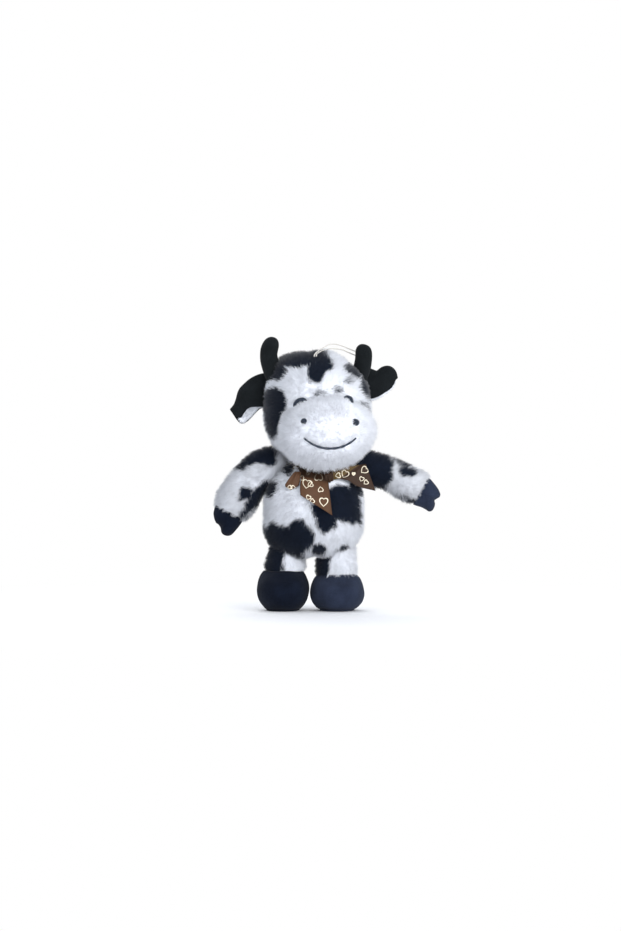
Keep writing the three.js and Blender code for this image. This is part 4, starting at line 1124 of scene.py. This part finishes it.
class COW_OT_thread(bpy.types.Operator):
    """The doubled white thread on the crown, twisted from three plies"""

    bl_idname = "cow.thread"
    bl_label = "Hanging thread"

    def execute(self, context):
        width = context.scene.cow_thread.width
        places, directions, length = curve_through(THREAD_ROUTE, 220)
        half = width / MM / 2
        rings = []
        for step, (place, direction) in enumerate(zip(places, directions)):
            turn = Matrix.Rotation(step * length / 219 / 2.6 * 2 * math.pi / 3, 4, "Z")
            rings.append(ring_matrix(place, direction, half, half) @ turn)
        bm = bmesh.new()
        loft(bm, rings, 12, lambda angle: 0.8 + 0.2 * math.cos(3 * angle))
        piece = finish_piece(bm, "hang_loop_thread", BODY, get_material("hanging_plies"))
        dress(piece, "hang_loop", "head")
        return {"FINISHED"}


class COW_OT_head(bpy.types.Operator):
    """The head's backing and its fur, combed away from the crown"""

    bl_idname = "cow.head"
    bl_label = "Head"

    def execute(self, context):
        bm = bmesh.new()
        backing_egg(bm, HEAD_EGG, 6)
        lump(bm, 1.4, 24, 1)
        for vert in bm.verts:
            rise = min(max((vert.co.z - 200) / 22, 0), 1)
            vert.co.z += np.interp(vert.co.x, *HEAD_LEAN) * rise * rise * (3 - 2 * rise)
        low = [vert for vert in bm.verts if vert.co.z < 136.5]
        bmesh.ops.delete(bm, geom=low, context="VERTS")
        edges = [edge for edge in bm.edges if edge.is_boundary]
        bmesh.ops.contextual_create(bm, geom=edges)
        bmesh.ops.triangulate(bm, faces=[face for face in bm.faces if len(face.verts) > 4])
        field = spot_field(HEAD_SPOTS, 11, HEAD_FAINT_SPOTS)
        skin = plush_skin(bm, "head", HEAD, field, "head")

        def seen(places):
            hidden = in_plump(places, *MUZZLE_EGG, 7)
            return ~hidden & (places[:, 2] > 139) & (brow_gap(in_head_frame(places)) > 2)

        def shorten(places):
            return np.clip(0.15 + brow_gap(in_head_frame(places)) / 5, 0.2, 1)

        combs = {"front": away_from((-6, -58, 211)), "back": away_from((0, 4, 244))}
        grow_quarters("head", skin, field, combs, 21, 2, seen, shorten)
        return {"FINISHED"}


def line_gap(local, lines):
    """Millimetres in front view from places of the head's frame to the nearest of the lines."""
    flat = local[:, [0, 2]]
    knots = np.vstack([curve_through(line, 12)[0] for line in lines])
    gaps = np.linalg.norm(flat[:, None] - knots[None], axis=2).min(axis=1)
    return np.where(local[:, 1] < -20, gaps, 99)


def brow_gap(local):
    return line_gap(local, BROWS.values())


def smile_line():
    radius = (SMILE_HALF**2 + SMILE_SAG**2) / (2 * SMILE_SAG)
    most = math.asin(SMILE_HALF / radius)
    turns = np.linspace(-most, most, 25)
    middle = SMILE_TOP - SMILE_SAG + radius
    return [(SMILE_MIDDLE + radius * math.sin(t), middle - radius * math.cos(t)) for t in turns]


class COW_OT_muzzle(bpy.types.Operator):
    """The padded snout and its white fur, combed outwards and kept short round the stitches"""

    bl_idname = "cow.muzzle"
    bl_label = "Muzzle"

    def execute(self, context):
        (middle_x, _, middle_z), (wide, _, tall), _ = MUZZLE_EGG
        bm = bmesh.new()
        for vert in backing_egg(bm, MUZZLE_EGG, 5):
            across = (middle_x - vert.co.x) / wide * 2
            low = max(0, (middle_z - vert.co.z) / tall * 2)
            if across > 0:
                jowl = 4.4 * (2 * across * low) ** 1.5
                vert.co.x += SNOUT_DRAWN_IN * across * wide / 2 - jowl * across
                vert.co.z -= jowl * low
        lump(bm, 1.0, 20, 3)
        field = spot_field([], 31)
        skin = plush_skin(bm, "muzzle", HEAD, field, "head", ["head"])

        def shorten(places):
            local = in_head_frame(places)
            nostril_gap = line_gap(local, NOSTRILS.values())
            gap = np.minimum(line_gap(local, [smile_line()]), nostril_gap - 0.5)
            gap = np.minimum(gap, brow_gap(local) - 0.5)
            low = np.clip((148 - local[:, 2]) / 10, 0, 1)
            rim = np.clip(np.abs(local[:, 0] - 3) / 12 - 2.2, 0, 1)
            tufted = 1 + 0.3 * wander(places, 7, 35)[:, 0]
            return np.clip(0.12 + gap / 5, 0.12, 0.8) * (1 + (0.7 * low + 0.4 * rim) * tufted)

        def keep(places):
            local = in_head_frame(places)
            unstitched = (line_gap(local, [smile_line()]) > 0.9) & (
                line_gap(local, NOSTRILS.values()) > 1.3
            )
            return ~in_plump(places, *HEAD_EGG, 2) & unstitched

        grow_fur(
            "muzzle_fur", skin, field, away_from((14, -74, 182)), 33, keep, shorten, long=1.15,
            lean=0.3, whorl=26, body="head",
        )
        return {"FINISHED"}


def on_head(x, z, height, egg=HEAD_EGG):
    """How far forward the front of an egg of the head is, this far above its pile."""
    centre, size, plumpness = egg
    half = np.array(size) / 2 + height
    rise = np.abs((z - centre[2]) / half[2])
    wide = np.maximum(1 - rise**plumpness, 0) ** (1 / plumpness)
    across = (x - centre[0]) / half[0]
    return centre[1] - half[1] * np.sqrt(np.maximum(wide**2 - across**2, 0))


def on_muzzle(x, z, height):
    middle = MUZZLE_EGG[0][0]
    x = np.where(x < middle, middle + (x - middle) / (1 - SNOUT_DRAWN_IN), x)
    return on_head(x, z, height, MUZZLE_EGG)


def stitched_line(name, line, surface, radii, height, node):
    """A raised satin stitched line that follows a surface of the head. line holds x and z."""
    count = 90
    flat, _, _ = curve_through(line, count)
    forward = surface(flat[:, 0], flat[:, 1], height)
    places = np.column_stack([flat[:, 0], forward, flat[:, 1]])
    places, directions, length = curve_through(places, count)
    along = np.linspace(0, 1, count)
    half = share_at(radii, along) * round_ends(along, length, np.array(radii).max())
    ridge = 1 + 0.1 * np.sin(along * length / 0.55 * 2 * math.pi)
    rings = [
        ring_matrix(place, direction, size, 0.62 * size)
        for place, direction, size in zip(places, directions, half * ridge)
    ]
    bm = bmesh.new()
    loft(bm, rings, 16)
    piece = finish_piece(bm, name, HEAD, get_material("face_stitches"))
    dress(piece, node, "head")


class COW_OT_face(bpy.types.Operator):
    """The smile, the two nostrils and the two brows, all satin stitched"""

    bl_idname = "cow.face"
    bl_label = "Stitched face"

    def execute(self, context):
        stitched_line("smile", smile_line(), on_muzzle, SMILE_RADII, -0.5, "mouth_stitching")
        for side, _ in SIDES:
            stitched_line(
                f"{side}_nostril_stitching", NOSTRILS[side], on_muzzle, NOSTRIL_RADII[side], -1.3,
                f"{side}_nostril",
            )
            stitched_line(
                f"{side}_brow", BROWS[side], on_head, BROW_RADII[side], 0.3, f"{side}_eye"
            )
        return {"FINISHED"}


class COW_OT_horns(bpy.types.Operator):
    """Two stuffed fleece horns with a seam up each side"""

    bl_idname = "cow.horns"
    bl_label = "Horns"

    def execute(self, context):
        for side, sign in SIDES:
            points = mirrored(HORN_ROOT, sign) + HORN_LENGTH * np.array(HORNS[side])
            rings = limb_rings(points, HORN_RADIUS, [0.9, 0.97, 1, 0.96, 0.84], 1, 40)
            bm = bmesh.new()
            loft(bm, rings, 40, lambda angle: 1 - 0.05 * math.exp(-((math.sin(angle) / 0.16) ** 2)))
            lump(bm, 0.5, 9, 5 + sign)
            piece = finish_piece(bm, f"{side}_horn_fleece", HEAD, get_material("horn_nap"))
            dress(piece, f"{side}_horn", "head")
        return {"FINISHED"}


def ear_sheet(side, sign, offset, margin=0.0, reach=1.0):
    """A grid on an ear's folded leaf, moved along its normal, in the head's frame. Its free edges
    stop a margin short, and its tip at a share of the length."""
    lines = EARS[side]

    def line(name, out):
        shares = np.array([(x, out, z) for x, z in lines[name]])
        points = mirrored(EAR_ROOT, sign) + EAR_LENGTH * shares
        return curve_through(points, np.linspace(0, reach, 33))[0]

    out_front, out_back = lines["out"]
    fold, front, back = line("fold", 0), line("front", out_front), line("back", out_back)
    bm = bmesh.new()
    bmesh.ops.create_grid(bm, x_segments=32, y_segments=28, size=0.5)
    for vert in bm.verts:
        index = round((vert.co.x + 0.5) * 32)
        across = 2 * vert.co.y
        quarter = abs(across) * math.pi / 2
        ridge = fold[index]
        edge = (front if across < 0 else back)[index]
        edge = edge + (ridge - edge) * min(1, margin / np.linalg.norm(ridge - edge))
        share = np.array([1 - math.cos(quarter), math.sin(quarter), 1 - math.cos(quarter)])
        vert.co = ridge + (edge - ridge) * share
    bm.normal_update()
    for vert in bm.verts:
        vert.co += vert.normal * offset + Vector(
            (0, 0.5 * noise.noise(vert.co / 9), 0.4 * noise.noise(vert.co / 7))
        )
    return bm


class COW_OT_ears(bpy.types.Operator):
    """Folded ears: a dark fleece leaf outside and a pale plush lining inside"""

    bl_idname = "cow.ears"
    bl_label = "Ears"

    def execute(self, context):
        field = spot_field([], 41)
        for side, sign in SIDES:
            body = f"{side}_ear"
            bm = ear_sheet(side, sign, sign * 1.3)
            leaf = finish_piece(bm, f"{side}_ear_fleece", HEAD, get_material("horn_nap"))
            apply_modifier(leaf, "SOLIDIFY", thickness=0.0026, offset=0)
            apply_modifier(leaf, "SUBSURF", levels=1, render_levels=1)
            shade_smooth(leaf)
            dress(leaf, f"{side}_ear_back", body)
            bm = ear_sheet(side, sign, -sign * 0.9, *((1.5, 0.88) if side == "left" else ()))
            name = f"{side}_ear_lining_cloth"
            lining = finish_piece(bm, name, HEAD, get_material("plush_backing"))
            apply_modifier(lining, "SOLIDIFY", thickness=0.0014, offset=0)
            shade_smooth(lining)
            paint_skin(lining, field)
            dress(lining, f"{side}_ear_lining", body)
            root = in_toy_frame(mirrored(EAR_ROOT, sign)[None])[0]
            grow_fur(
                f"{side}_ear_pile", lining, field, away_from(root), 43, long=0.42, lean=1.0,
                body=body,
            )
        return {"FINISHED"}


class COW_OT_torso(bpy.types.Operator):
    """The pear shaped body and its fur, combed downwards"""

    bl_idname = "cow.torso"
    bl_label = "Torso"

    def execute(self, context):
        inset = context.scene.cow_plush.inset / MM
        profile, _, _ = curve_through(TORSO_PROFILE, 56, even=True)
        rings = []
        for out, rise in profile[1:-1]:
            height = TORSO_FOOT + rise * TORSO_HEIGHT
            if height > NECK[2]:
                break
            middle_x, middle_y, _, _ = torso_section(height)
            height = max(height, TORSO_FOOT + inset + 1.5 * out)
            half = max(out * TORSO_HALF_WIDTH - inset + 0.8, 0.5)
            deep = max(out * TORSO_HALF_DEPTH - inset, 0.5)
            rings.append(level_ring(middle_x + 0.3, middle_y, height, half, deep))
        bm = bmesh.new()
        loft(bm, rings, 96)
        lump(bm, 1.3, 22, 7)
        for vert in bm.verts:
            seam = bump_at(vert.co.x, -0.2, 1.9) * min(max((86 - vert.co.z) / 18, 0), 1)
            if vert.co.y < 0:
                vert.co.y += 1.6 * seam
            if vert.co.z < 56:
                vert.co.z += 1.6 * bump_at(vert.co.x, 1, 4)
        field = spot_field(TORSO_SPOTS, 51)
        skin = plush_skin(bm, "torso", BODY, field, "torso")
        along, upper = np.linspace(0, 1, 24), 14
        covers = [
            (arm_line(side, 24)[0][:upper], ARM_RADIUS * share_at(ARM_RADII[side], along)[:upper])
            for side, _ in SIDES
        ]

        def seen(places):
            """Not under the head, the arms or the legs."""
            hidden = places[:, 2] > 136.5
            for (side, _), (middles, radii) in zip(SIDES, covers):
                hidden |= in_tube(places, middles, radii, 4.5)
                beside = np.linalg.norm((places - HIPS[side])[:, :2], axis=1)
                hidden |= beside < 13 * (places[:, 2] < 56)
            return ~hidden

        def shorten(places):
            """Short under the ribbon, long round the neck."""
            x, z = places[:, 0], places[:, 2]
            front = places[:, 1] < -10
            tail = (x > -12) & (x < 15) & (z > 89 + np.clip(12 - x, 0, 30) * 0.7) & front
            side = (x > 14) & (x < 52) & (z > 113) & front
            loop = (x > -28) & (x < -6) & (z > 108) & (z < 126) & front
            neck = (z > 131) & (np.abs(x - 3) < 20)
            return np.where(tail | side | loop | neck, 0.55, np.where(z > 127, 1.25, 1))

        combs = {"front": downwards, "back": downwards}
        grow_quarters("torso", skin, field, combs, 61, 0, seen, shorten)
        return {"FINISHED"}


def cuff(side):
    """The plane of a wrist seam: a point and the direction of the hoof."""
    places, directions, _ = arm_line(side, np.array([CUFF_SHARE]))
    axis = (0, 1, 0) if side == "left" else (0, -1, 0)
    turn = Matrix.Rotation(math.radians(CUFF_TILT[side]), 3, axis)
    return places[0], np.array(turn @ Vector(directions[0]))


class COW_OT_arms(bpy.types.Operator):
    """Two bent arms whose fur runs towards the hooves"""

    bl_idname = "cow.arms"
    bl_label = "Arms"

    def execute(self, context):
        inset = context.scene.cow_plush.inset / MM
        for side, seed in (("left", 71), ("right", 81)):
            rings = limb_rings(
                arm_points(side), ARM_RADIUS, ARM_RADII[side], ARM_DEPTH_SHARE, 60, inset
            )
            bm = bmesh.new()
            loft(bm, rings, 56)
            place, direction = cuff(side)
            trim(bm, place - direction * 1.5, direction)
            lump(bm, 1.1, 17, seed)
            field = spot_field(ARM_SPOTS[side], seed, ARM_FAINT_SPOTS[side])
            # The arms' pale dye is lowered as painted shade
            white = ARM_PAINTED_SHADE[side]
            skin = plush_skin(
                bm, f"{side}_arm", BODY, field, cut=["torso", "head"], white=white
            )
            # The order after the cuts changes from run to run too
            bm = bmesh.new()
            bm.from_mesh(skin.data)
            sort_faces(bm)
            bm.to_mesh(skin.data)
            bm.free()
            fur = grow_fur(
                f"{side}_arm_fur", skin, field, away_from(SHOULDERS[side]), seed + 1, white=white,
                keep=lambda places: ~in_torso(places, 1.5) & ~in_plump(places, *HEAD_EGG, 1.5)
                & ((places - place) @ direction < -1.7),
            )
            start, end = row_place(arm_line(side, np.array([0.25, 0.5]))[0])
            for piece in (skin, fur):
                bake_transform(piece)
            self.hoof(side, place, direction, seed)
        return {"FINISHED"}

    def hoof(self, side, place, direction, seed):
        """A cloven fleece hoof: two toes that part at the tip of the arm."""
        bm = bmesh.new()
        pillow(bm, HOOF_OUTLINES[side], HOOF_MIDDLES[side], HOOF_HALF_DEPTH)
        trim(bm, place - direction * 1.2, -direction)
        lump(bm, 0.5, 9, seed + 3)
        piece = finish_piece(bm, f"{side}_hoof_fleece", BODY, get_material(DARK_NAPS[side]))
        dress(piece, f"{side}_hoof", f"{side}_arm")


class COW_OT_legs(bpy.types.Operator):
    """Short plush legs on broad fleece feet with flat soles"""

    bl_idname = "cow.legs"
    bl_label = "Legs and feet"

    def execute(self, context):
        for side, seed in (("left", 91), ("right", 101)):
            _, y, z = HIPS[side]
            ankle = ANKLES[side]
            rings = []
            for height in np.linspace(ankle - 1, z + 12, 24):
                middle, size = (np.interp(height, LEG_HEIGHTS, row) for row in LEG_SHAPES[side])
                size -= 1.2 * max(0, ankle + 1.5 - height) / 2.5
                rings.append(level_ring(middle, y, height, size, LEG_HALF_DEPTH))
            bm = bmesh.new()
            loft(bm, rings, 60)
            lump(bm, 0.9, 13, seed)
            field = spot_field(LEG_SPOTS[side], seed)
            skin = plush_skin(bm, f"{side}_leg", BODY, field, cut=["torso"])

            def shorten(places):
                """Short above the left foot, and a fringe over the front of the right one."""
                near = np.clip((places[:, 2] - ankle) / 6, 0, 1)
                if side == "left":
                    return 0.45 + 0.55 * near
                front = np.clip((-places[:, 1] - 4) / 8, 0, 1)
                return 1 + (1 - near) * front * (0.95 + 0.35 * wander(places, 5, seed)[:, 0])

            fur = grow_fur(
                f"{side}_leg_fur", skin, field, downwards, seed + 1, shorten=shorten,
                keep=lambda places: ~in_torso(places, 2) & (places[:, 2] > ankle - 0.5),
            )
            for piece in (skin, fur):
                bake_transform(piece)
            self.foot(side, seed)
        return {"FINISHED"}

    def foot(self, side, seed):
        half_wide, middle_x = FOOT_WIDTHS[side] / 2, FOOT_MIDDLES[side]
        rings = []
        for height, width, depth, forward in curve_through(FOOT_SECTIONS[side], 44, even=True)[0]:
            tuck = FOOT_TUCKS[side] * min(max((height - 0.84) / 0.14, 0), 1) ** 2
            half, deep = width * half_wide - tuck, depth * FOOT_HALF_DEPTH - tuck
            height = min(height, 1) * ANKLES[side]
            rings.append(level_ring(middle_x, -FOOT_FORWARD * forward, height, half, deep))
        bm = bmesh.new()
        loft(bm, rings, 96)
        lump(bm, 0.8, 15, seed + 2)
        nap = get_material(DARK_NAPS[side])
        piece = finish_piece(bm, f"{side}_foot_fleece", BODY, nap)
        dress(piece, f"{side}_foot_skin", f"{side}_leg")
        wide, deep = SOLE_WIDE * half_wide, SOLE_DEEP * FOOT_HALF_DEPTH
        disc = [
            level_ring(middle_x, -FOOT_FORWARD * SOLE_FORWARD, rise, wide * share, deep * share)
            for rise, share in SOLE_EDGE
        ]
        bm = bmesh.new()
        loft(bm, disc, 72)
        sole = finish_piece(bm, f"{side}_sole_fleece", BODY, nap)
        dress(sole, f"{side}_sole", f"{side}_leg")


class COW_OT_tail(bpy.types.Operator):
    """A thin furry tail with a dark tuft"""

    bl_idname = "cow.tail"
    bl_label = "Tail"

    def execute(self, context):
        x, middle_y, _, deep = torso_section(TAIL_HEIGHT)
        root = np.array([x, deep + middle_y, TAIL_HEIGHT])
        points = root + TAIL_LENGTH * np.array(TAIL_PATH)
        bm = bmesh.new()
        loft(bm, limb_rings(points, TAIL_RADIUS, [1, 0.9], 1, 30, 1.6), 20)
        skin = finish_piece(bm, "tail_plush", BODY, get_material("plush_backing"))
        field = spot_field([(x, 0, 50, 0.1, 0.1, 0.1)], 5)
        paint_skin(skin, field)
        dress(skin, "tail")
        fur = grow_fur(
            "tail_fur", skin, field, lambda places: downwards(places) + (0, 0.1, 0), 111, long=0.5
        )
        for piece in (skin, fur):
            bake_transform(piece)
        bm = bmesh.new()
        plump(bm, points[-1], TUFT_SIZE, 2, 4)
        core = finish_piece(bm, "tail_tuft_core", BODY, get_material("hoof_nap"))
        black = np.array(context.scene.cow_plush.black)
        paint(core.data, np.tile(black, (len(core.data.vertices), 1)))
        dress(core, "tail_tuft", "tail")
        grow_fur(
            "tail_tuft_fur", core, lambda places: np.full(len(places), -9.0), downwards, 113,
            lean=1.3, body="tail",
        )
        return {"FINISHED"}


def cloth(name, surface, flat, node, count=(48, 40)):
    """A length of ribbon. surface takes shares across and along, flat is its cut size in mm."""
    bm = bmesh.new()
    bmesh.ops.create_grid(bm, x_segments=count[0], y_segments=count[1], size=0.5)
    layer = bm.loops.layers.uv.new("cloth")
    printed = bm.loops.layers.uv.new("print")
    repeats = name == "neck_ribbon"
    shares = {vert: (vert.co.x + 0.5, vert.co.y + 0.5) for vert in bm.verts}
    for vert, (u, v) in shares.items():
        vert.co = surface(u, v)
    for face in bm.faces:
        for loop in face.loops:
            u, v = shares[loop.vert]
            loop[layer].uv = (u * flat[0], v * flat[1])
            seen = (loop.vert.co.x, loop.vert.co.z)
            loop[printed].uv = (u * flat[0], v * flat[1] % REPEAT) if repeats else seen
        along = [loop[printed].uv.y for loop in face.loops]
        if repeats and max(along) - min(along) > 9:
            for loop in face.loops:
                if loop[printed].uv.y < 9:
                    loop[printed].uv.y += REPEAT
    piece = finish_piece(bm, name, BODY, ribbon_material(name.removesuffix("_satin")))
    solid = piece.modifiers.new("Thickness", "SOLIDIFY")
    solid.thickness = bpy.context.scene.cow_ribbon.thickness
    solid.offset = 0
    dress(piece, node, "torso")
    return piece


def between(corners, u, v):
    """A place inside four corners: top left, top right, bottom left, bottom right."""
    a, b, c, d = (np.array(corner) for corner in corners)
    return (a * (1 - u) + b * u) * (1 - v) + (c * (1 - u) + d * u) * v


def bump_at(value, place, width):
    return math.exp(-(((value - place) / width) ** 2))


def knot_forward():
    return chest_forward(14.0, 123.5) + 5.1


class COW_OT_ribbon(bpy.types.Operator):
    """The printed ribbon: a gathered band, a loop and two cut tails"""

    bl_idname = "cow.ribbon"
    bl_label = "Ribbon"

    def execute(self, context):
        def band(u, v):
            turn = -math.pi / 2 + 2 * math.pi * v
            height = 137 - 7.5 * u
            fold = abs((u * 11) % 2 - 1)
            middle_x, middle_y, half, deep = torso_section(height)
            sunk = max(bump_at(v, 0.87, 0.12), bump_at(v, 0.18, 0.08))
            ruffle = 0.6 + 3.0 * fold + 0.3 * math.sin(9 * turn + 5 * u)
            out = ruffle * (1 - 0.75 * sunk) - 3.0 * sunk
            return (
                middle_x + (half + out) * math.cos(turn),
                middle_y + (deep + out) * math.sin(turn),
                height + 0.4 * math.sin(7 * turn),
            )

        piece = cloth("neck_ribbon", band, (25, 170), "neck_band", (44, 110))

        def front(u, v):
            x, z = between([(-13.6, 131), (12.6, 131), (-11.4, 106.2), (17.6, 87.8)], u, v)
            x += 1.6 * (1 - u) * bump_at(v, 0.35, 0.3)
            wave = 0.8 * math.sin(2.2 * math.pi * u + 1.2 * v) + 0.7 * math.sin(5 * v + 2 * u)
            gather = 1.8 * math.cos(5 * math.pi * u) * max(0, 1 - 3.2 * v)
            hem = 0.8 * (u > 0.92) * (u - 0.92) / 0.08
            return x, -chest_forward(x, z) - 3.4 - wave - gather - hem, z

        piece = cloth("front_ribbon_tail", front, (25, 43), "front_tail")

        low_edge = [(14.6, 118.6), (23.5, 121), (32.5, 119), (40, 114.3), (57.2, 109.8)]
        low_x, low_z = curve_through(low_edge, 41)[0].T
        nearest = knot_forward()

        def side(u, v):
            """u runs from the top edge to the bottom edge, v away from the knot."""
            top_x, top_z = 13.6 + 34.8 * v, 131.4 + 3.1 * v * v
            x = top_x * (1 - u) + share_at(low_x, v) * u
            z = top_z * (1 - u) + share_at(low_z, v) * u
            crease = max(1.23 - 1.54 * v, 0)
            above = max(0, 1 - ((crease - u) / 0.75 if u < crease else (u - crease) / 0.1))
            fold = 0.8 * math.cos(3.6 * math.pi * u + 0.6) * max(0, 1 - 2.4 * v)
            return x, -nearest + 9.5 * v**1.3 - 3.4 * above * min(1, 3 * v) - fold + 1.2, z

        piece = cloth("side_ribbon_tail", side, (25, 40), "side_tail")

        loop_forward = chest_forward(-17, 118) + 3.2

        def bow(u, v):
            """A flattened loop folded lengthwise, drooping from the knot. v runs round the loop."""
            turn = math.pi * (2 * v - 1)
            reach = (1 + math.cos(turn)) / 2
            fold = abs(2 * u - 1)
            root, tip = np.array((-20.2, 112.2)), np.array((-13.6, 126.2))
            spine = root * (1 - reach) + tip * reach
            wide = 2.6 + 4.4 * (1 - reach) ** 0.6 - 2 * max(0, 1 - 5 * reach) ** 2
            across = (2 * u - 1) * wide
            x = spine[0] + across * 0.92
            z = spine[1] - across * 0.06 - 2.6 * (1 - fold) * (1 - reach) ** 2 + 1.2
            puff = 2.3 * math.sin(turn) + 1.4 * (1 - fold**2) * (1 - reach)
            return x, -loop_forward - puff - 0.8 * math.cos(4 * math.pi * u) * reach, z

        piece = cloth("bow_loop_satin", bow, (25, 34), "bow_loop", (24, 64))
        return {"FINISHED"}


class COW_OT_knot(bpy.types.Operator):
    """The ribbon's knot, a turn of satin drawn tight"""

    bl_idname = "cow.knot"
    bl_label = "Knot"

    def execute(self, context):
        bm = bmesh.new()
        for vert in plump(bm, (0, 0, 0), KNOT_SIZE, 2.4, 5):
            crease = math.cos(vert.co.x * 1.9 + 0.3 * vert.co.z)
            vert.co += vert.co.normalized() * 0.45 * crease
        for layer in (bm.loops.layers.uv.new("cloth"), bm.loops.layers.uv.new("print")):
            for face in bm.faces:
                for loop in face.loops:
                    loop[layer].uv = (12 + loop.vert.co.x * 1.1, 20 + loop.vert.co.z * 1.2)
        x, z = KNOT_PLACE
        bmesh.ops.translate(bm, vec=(x, -knot_forward(), z), verts=bm.verts)
        piece = finish_piece(bm, "bow_knot_satin", BODY, ribbon_material("knot"))
        dress(piece, "bow_knot", "torso")
        return {"FINISHED"}


class COW_OT_filling(bpy.types.Operator):
    """The fibre stuffing inside each padded piece"""

    bl_idname = "cow.filling"
    bl_label = "Stuffing"

    def execute(self, context):
        nap = get_material("stuffing")
        for name, node in frame["nodes"].items():
            if not name.endswith("_filling"):
                continue
            bm = bmesh.new()
            bm.from_mesh(node.data)
            bmesh.ops.remove_doubles(bm, verts=bm.verts, dist=0.00001)
            piece = finish_piece(bm, name.replace("filling", "stuffing"), Matrix.Identity(4), nap)
            apply_modifier(piece, "REMESH", mode="VOXEL", voxel_size=0.0025)
            bm = bmesh.new()
            bm.from_mesh(piece.data)
            for _ in range(3):
                bmesh.ops.smooth_vert(bm, verts=bm.verts, factor=0.5)
            bm.normal_update()
            for vert in bm.verts:
                vert.co -= vert.normal * (0.0012 + 0.0009 * noise.noise(vert.co * 160))
            bm.to_mesh(piece.data)
            bm.free()
            shade_smooth(piece)
            dress(piece, name, node["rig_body"])
        return {"FINISHED"}


class COW_PT_panel(bpy.types.Panel):
    bl_idname = "COW_PT_panel"
    bl_label = "Plush cow"
    bl_space_type = "VIEW_3D"
    bl_region_type = "UI"
    bl_category = "Plush cow"

    def draw(self, context):
        for operator in OPERATORS:
            self.layout.operator(operator.bl_idname)
        for name in SETTINGS:
            group = getattr(context.scene, name)
            for key in group.bl_rna.properties.keys():
                if key not in ("rna_type", "name"):
                    self.layout.prop(group, key)


SETTINGS = {
    "cow_plush": PlushSettings,
    "cow_fleece": FleeceSettings,
    "cow_thread": ThreadSettings,
    "cow_ribbon": RibbonSettings,
    "cow_stage": StageSettings,
}
OPERATORS = (
    COW_OT_stage, COW_OT_thread, COW_OT_head, COW_OT_muzzle, COW_OT_face, COW_OT_horns, COW_OT_ears,
    COW_OT_torso, COW_OT_arms, COW_OT_legs, COW_OT_tail, COW_OT_knot, COW_OT_ribbon, COW_OT_filling,
)


def register():
    for kind in (*SETTINGS.values(), *OPERATORS, COW_PT_panel):
        bpy.utils.register_class(kind)
    for name, kind in SETTINGS.items():
        setattr(bpy.types.Scene, name, bpy.props.PointerProperty(type=kind))


def unregister():
    for name in SETTINGS:
        delattr(bpy.types.Scene, name)
    for kind in (COW_PT_panel, *reversed(OPERATORS), *SETTINGS.values()):
        bpy.utils.unregister_class(kind)


def main():
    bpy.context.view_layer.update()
    register()
    for operator in OPERATORS:
        getattr(bpy.ops.cow, operator.bl_idname.split(".")[1])()


if __name__ == "__main__":
    main()
